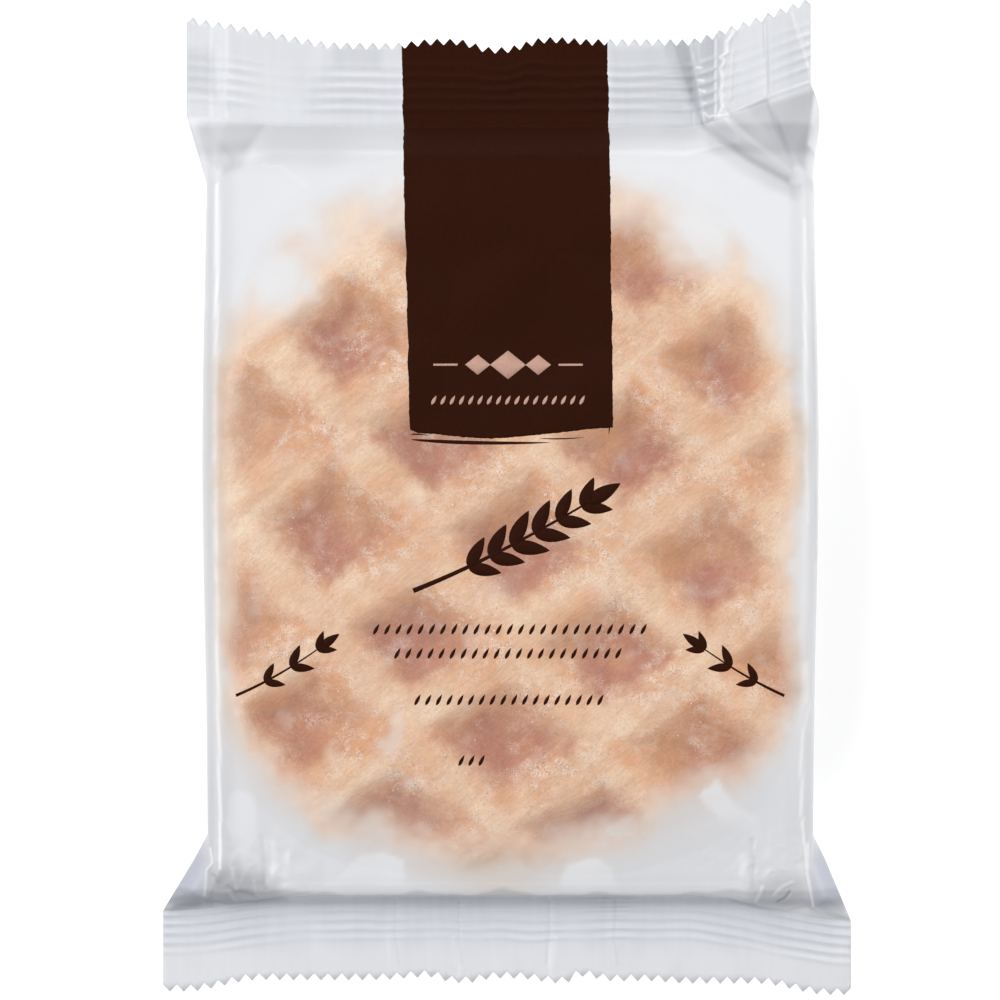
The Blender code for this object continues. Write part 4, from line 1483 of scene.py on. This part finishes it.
@dataclass
class Print:
    """Plain printed ornament on the film: an ear of grain, small sprigs, rules and lozenges."""

    pack: PackShape
    film: BVHTree
    layer: Point = (0.0, 0.1)
    dark_layer: Point = (-0.04, 0.14)
    pale_layer: Point = (0.05, 0.25)
    field_cells: tuple[int, int] = (150, 190)
    field_foot: Point = (-18.5, 19.8)
    field_head: Point = (-20.2, 18.9)
    inside_cut: float = 0.03
    leaf_angle: float = 0.62
    grain_slant: float = 62.0
    # Dry brush marks under the field: start, middle and end in pixels, and half width
    dashes: tuple[tuple[Point, Point, Point, float], ...] = (
        ((412, 440), (470, 445), (550, 443), 0.36),
        ((411, 435), (418, 434), (429, 436), 0.14),
        ((540, 439), (560, 440), (584, 438), 0.12),
        ((609, 416), (609, 425), (608, 435), 0.16),
    )
    # Sprigs: start, middle and end in pixels, pairs of leaves, and a leaf's length and half width
    sprigs: tuple[tuple[Point, Point, Point, int, float, float], ...] = (
        ((414, 590), (490, 560), (588, 502), 6, 7.4, 1.4),
        ((238, 694), (280, 676), (322, 646), 3, 4.6, 0.85),
        ((782, 694), (742, 676), (700, 646), 3, 4.6, 0.85),
    )
    # Rows of grains: first and last pixel and row; a grain's length and half width
    grain_rows: tuple[Triple, ...] = ((372, 648, 628), (393, 623, 652), (413, 605, 698), (457, 487, 758))
    dark_grain: Point = (2.3, 0.34)
    pale_row: Triple = (430, 586, 401)
    pale_grain: Point = (1.9, 0.32)
    # Pale lozenges: pixel column and half height; rules beside them: first and last pixel
    rule_row: float = 366
    lozenges: tuple[Point, ...] = ((478, 1.9), (508, 2.7), (538, 1.9))
    lozenge_stretch: float = 1.25
    rules: tuple[Point, ...] = ((434, 458), (558, 582))
    rule_half: float = 0.2

    def on_film(self, x: float, y: float, rise: float) -> Vector:
        """Return a point a little above or below the front film.

        Args:
            x: The place across the pack in mm.
            y: The place along the pack in mm.
            rise: The height above the film in mm.

        Returns:
            The point.
        """
        down = Vector((0.0, 0.0, -1.0))
        hits = [self.film.ray_cast(self.pack.place(x + nudge, y + 0.6 * nudge, 60.0), down)[0]
                for nudge in (0.0, 0.011, -0.013)]
        hit = max(hits, key=lambda place: place.z)
        return hit + Vector((0.0, 0.0, rise * MM))

    def stroke(self, mesh: bmesh.types.BMesh, path: Path, width: Callable[[float], float],
               steps: int) -> None:
        """Lay one brush stroke on the film as a thin closed patch, in the layer that is being printed.

        Args:
            mesh: The bmesh that the stroke joins.
            path: Place on the pack in millimetres for a share of the stroke's length.
            width: Half width in millimetres for that share.
            steps: Number of mesh cells along the stroke.
        """
        for verts, height in zip(layered_grid(mesh, steps, 2), self.layer):
            for vert in verts:
                share = 0.5 * (vert.co.x + 1.0)
                ahead, behind = path(min(1.0, share + 0.01)), path(max(0.0, share - 0.01))
                along = Vector((ahead[0] - behind[0], ahead[1] - behind[1])).normalized()
                x, y = path(share)
                offset = vert.co.y * max(0.02, width(share))
                x, y = x - along.y * offset, y + along.x * offset
                vert.co = self.on_film(x, y, height)

    def straight(self, start: Point, end: Point) -> Path:
        """Return the path of a straight stroke."""
        return lambda share: (mix(start[0], end[0], share), mix(start[1], end[1], share))

    def level(self, left: float, right: float) -> Path:
        """Return the path of a level stroke in the row of the rules, between two pixel columns."""
        return self.straight(spot(left, self.rule_row), spot(right, self.rule_row))

    def bent(self, start: Point, middle: Point, end: Point) -> Path:
        """Return the path of a stroke that bends once.

        Args:
            start: Where the stroke starts.
            middle: The point it bends towards.
            end: Where it ends.

        Returns:
            The path.
        """
        def path(share: float) -> Point:
            """Return the place at a share of the stroke."""
            a, b, c = (1.0 - share) ** 2, 2.0 * share * (1.0 - share), share * share
            return (a * start[0] + b * middle[0] + c * end[0], a * start[1] + b * middle[1] + c * end[1])
        return path

    def leaf(self, mesh: bmesh.types.BMesh, foot: Point, angle: float, length: float, half: float) -> None:
        """Lay a pointed leaf or grain whose widest part is near its foot.

        Args:
            mesh: The mesh that is added to.
            foot: Where the leaf starts.
            angle: Its bearing in radians.
            length: Its length in mm.
            half: Half its greatest width in mm.
        """
        tip = (foot[0] + length * math.cos(angle), foot[1] + length * math.sin(angle))
        self.stroke(mesh, self.straight(foot, tip),
                    lambda s: half * math.sin(math.pi * s ** 0.75) ** 0.8, 12)

    def sprig(self, mesh: bmesh.types.BMesh, start: Point, middle: Point, end: Point, pairs: int,
              length: float, half: float) -> None:
        """Lay a stem with pairs of leaves and one at its tip.

        Args:
            mesh: The bmesh that the sprig joins.
            start: The stem's foot.
            middle: The point that bends the stem.
            end: The stem's tip.
            pairs: Number of pairs of leaves.
            length: Length of a leaf.
            half: Half width of a leaf.
        """
        stem = self.bent(start, middle, end)
        self.stroke(mesh, stem, lambda s: half * (0.34 - 0.2 * s), 24)
        for index in range(pairs):
            share = mix(0.34, 0.96, index / max(1, pairs - 1))
            foot, ahead = stem(share), stem(min(1.0, share + 0.03))
            angle = math.atan2(ahead[1] - foot[1], ahead[0] - foot[0]) if share < 0.97 else 0.0
            size = 1.0 - 0.25 * abs(2.0 * share - 1.2)
            for turn in (self.leaf_angle, -self.leaf_angle):
                self.leaf(mesh, foot, angle + turn, length * size, half * size)
        before = stem(0.97)
        self.leaf(mesh, stem(0.99), math.atan2(end[1] - before[1], end[0] - before[0]), length, half)

    def grains(self, mesh: bmesh.types.BMesh, left: float, right: float, row: float, length: float,
               half: float) -> None:
        """Lay a row of small slanting grains, like a printed cord.

        Args:
            mesh: The bmesh that the grains join.
            left: First pixel of the row.
            right: Last pixel of the row.
            row: Pixel row.
            length: Length of a grain in millimetres.
            half: Its half width.
        """
        slant = math.radians(self.grain_slant)
        count = max(1, round((right - left) * MM_PER_PIXEL / (0.9 * length)))
        for index in range(count):
            x, y = spot(mix(left, right, (index + 0.5) / count), row)
            foot = (x - 0.5 * length * math.cos(slant), y - 0.5 * length * math.sin(slant))
            self.leaf(mesh, foot, slant, length, half)

    def head(self, x: float) -> float:
        """Return the line of the zigzag cut at the pack's upper end."""
        share = x / self.pack.high_seal_half[0 if x < 0.0 else 1]
        return self.pack.high_root.at(x) + self.pack.tooth(share) - self.inside_cut

    def field(self, mesh: bmesh.types.BMesh) -> None:
        """Lay the dark field from the upper cut down, with edges as ragged as a dry brush leaves them.

        Args:
            mesh: The mesh that is added to.
        """
        for verts, height in zip(layered_grid(mesh, *self.field_cells), self.layer):
            for vert in verts:
                across, row = 0.5 * (vert.co.x + 1.0), 0.5 * (vert.co.y + 1.0)
                along = 1.5 * row if row < 0.5 else 0.5 + 0.5 * row
                foot_x = mix(*self.field_foot, across)
                foot = self.foot_line(foot_x)
                x = mix(foot_x, mix(*self.field_head, across), along)
                y = mix(foot, self.head(x), along)
                ragged = 0.30 * rough(x, y, 4.0, 31.0) + 0.14 * rough(0.0, y, 0.7, 32.0)
                x += ragged * abs(vert.co.x) ** 24 * (1.0 - ease(along, 0.9, 1.0))
                vert.co = self.on_film(x, y, height)

    def foot_line(self, x: float) -> float:
        """Return the field's lower edge, lowest left of the middle, torn at its corners."""
        sag = 1.3 * math.exp(-((x + 3.5) / 10.5) ** 2) - 0.7 * ease(x, 8.0, 19.0)
        return 12.6 - sag + 0.16 * rough(x, 0.0, 0.9, 33.0) + 0.5 * ease(-x, 17.0, 18.6)

    def build_dark(self) -> bpy.types.Object:
        """Build all that is printed in dark ink.

        Returns:
            The print's object.
        """
        mesh = bmesh.new()
        self.layer = self.dark_layer
        self.field(mesh)
        for start, middle, end, half in self.dashes:
            self.stroke(mesh, self.bent(spot(*start), spot(*middle), spot(*end)),
                        lambda s, h=half: h * math.sin(math.pi * s ** 0.8) ** 0.6, 60)
        for start, middle, end, *sizes in self.sprigs:
            self.sprig(mesh, spot(*start), spot(*middle), spot(*end), *sizes)
        for row in self.grain_rows:
            self.grains(mesh, *row, *self.dark_grain)
        bmesh.ops.recalc_face_normals(mesh, faces=list(mesh.faces))
        piece = finish_mesh(mesh, "dark_print", DARK_INK.build())
        piece.visible_shadow = False
        piece.visible_diffuse = False
        return piece

    def build_pale(self) -> bpy.types.Object:
        """Build the pale lozenges, rules and grains on the printed field.

        Returns:
            The print's object.
        """
        mesh = bmesh.new()
        self.layer = self.pale_layer
        for column, half in self.lozenges:
            reach = self.lozenge_stretch * half / MM_PER_PIXEL
            self.stroke(mesh, self.level(column - reach, column + reach),
                        lambda s, h=half: h * (1.0 - abs(2.0 * s - 1.0)), 16)
        for left, right in self.rules:
            self.stroke(mesh, self.level(left, right), lambda s: self.rule_half, 12)
        self.grains(mesh, *self.pale_row, *self.pale_grain)
        bmesh.ops.recalc_face_normals(mesh, faces=list(mesh.faces))
        return finish_mesh(mesh, "pale_print", PALE_INK.build())


@dataclass
class Studio:
    """Camera, floor and soft lights."""

    pack: PackShape
    height: float = 0.9
    aim_height_mm: float = 9.0
    light_distance: float = 1.1
    frame_pixels: float = 1000.0
    sensor_mm: float = 36.0
    # Name, bearing and tilt in degrees, power in watts, depth and length in metres
    softboxes: tuple[tuple[str, float, float, float, Point], ...] = (
        ("left_softbox", 180.0, 50.0, 6.8, (0.55, 1.5)),
        ("right_softbox", 0.0, 50.0, 4.5, (0.55, 1.5)),
        ("end_softbox", 90.0, 58.0, 3.0, (0.4, 0.9)),
    )
    sky: float = 0.5
    zenith: float = 0.08
    zenith_edge: Point = (0.84, 0.96)
    floor_half: float = 3.0
    floor_white: float = 0.95
    floor_glow: float = 0.22

    def build_camera(self) -> None:
        """Place the camera straight above the pack, framed as in the photograph."""
        data = bpy.data.cameras.new("camera")
        data.sensor_width = self.sensor_mm
        data.lens = self.sensor_mm * self.height / (self.frame_pixels * MM_PER_PIXEL * MM)
        camera = new_object("camera", data)
        x, y = spot(0.5 * self.frame_pixels, 0.5 * self.frame_pixels)
        camera.location = self.pack.place(x, y, self.aim_height_mm) + Vector((0.0, 0.0, self.height))
        bpy.context.scene.camera = camera

    def build_floor(self) -> None:
        """Lay a plain white floor under the pack, faintly lit from below like a light table."""
        mesh = bmesh.new()
        bmesh.ops.create_grid(mesh, x_segments=1, y_segments=1, size=self.floor_half)
        data = bpy.data.meshes.new("floor")
        mesh.to_mesh(data)
        mesh.free()
        material, tree, shader = new_material("white_floor")
        plug(tree, shader, {"Base Color": (self.floor_white,) * 3 + (1.0,), "Roughness": 0.9,
                            "Specular IOR Level": 0.1, "Emission Color": (1.0, 1.0, 1.0, 1.0),
                            "Emission Strength": self.floor_glow})
        data.materials.append(material)
        floor = new_object("floor", data)

    def softbox(self, name: str, bearing: float, tilt: float, power: float, size: Point) -> None:
        """Hang a softbox that faces the pack.

        Args:
            name: The light's name.
            bearing: Degrees about the vertical, from +X.
            tilt: Degrees from straight up.
            power: Its power in watts.
            size: Its depth towards the pack and its length across, in metres.
        """
        data = bpy.data.lights.new(name, "AREA")
        data.shape = "RECTANGLE"
        data.size, data.size_y = size
        data.energy = power
        lamp = new_object(name, data)
        turn = Euler((0.0, math.radians(tilt), math.radians(bearing)))
        lamp.location = turn.to_matrix() @ Vector((0.0, 0.0, self.light_distance))
        lamp.rotation_euler = turn

    def build(self) -> None:
        """Build the camera, the floor and the lights."""
        self.build_camera()
        self.build_floor()
        for box in self.softboxes:
            self.softbox(*box)
        world = bpy.data.worlds.new("pale_room")
        world.use_nodes = True
        tree = world.node_tree
        upward = add_node(tree, "SeparateXYZ", inputs={0: add_node(tree, "TexCoord").outputs["Generated"]})
        glow = Nodes(tree).spread(upward.outputs[2], *self.zenith_edge, self.zenith, self.sky)
        plug(tree, tree.nodes["Background"], {0: (1.0, 1.0, 1.0, 1.0), 1: glow})
        bpy.context.scene.world = world
        bpy.context.scene.view_settings.view_transform = "Standard"


def main() -> None:
    """Build the studio, the waffle, its film and the print."""
    logging.basicConfig(level=logging.INFO, format="%(message)s")
    pack = PackShape()
    shape = WaffleShape(pack)
    Studio(pack).build()
    film = FilmWrap(pack, shape).build()
    waffle = Waffle(shape)
    waffle.build_crust()
    waffle.build_sugar()
    ornament = Print(pack, BVHTree.FromObject(film, bpy.context.evaluated_depsgraph_get()))
    ornament.build_dark()
    ornament.build_pale()


if __name__ == "__main__":
    main()
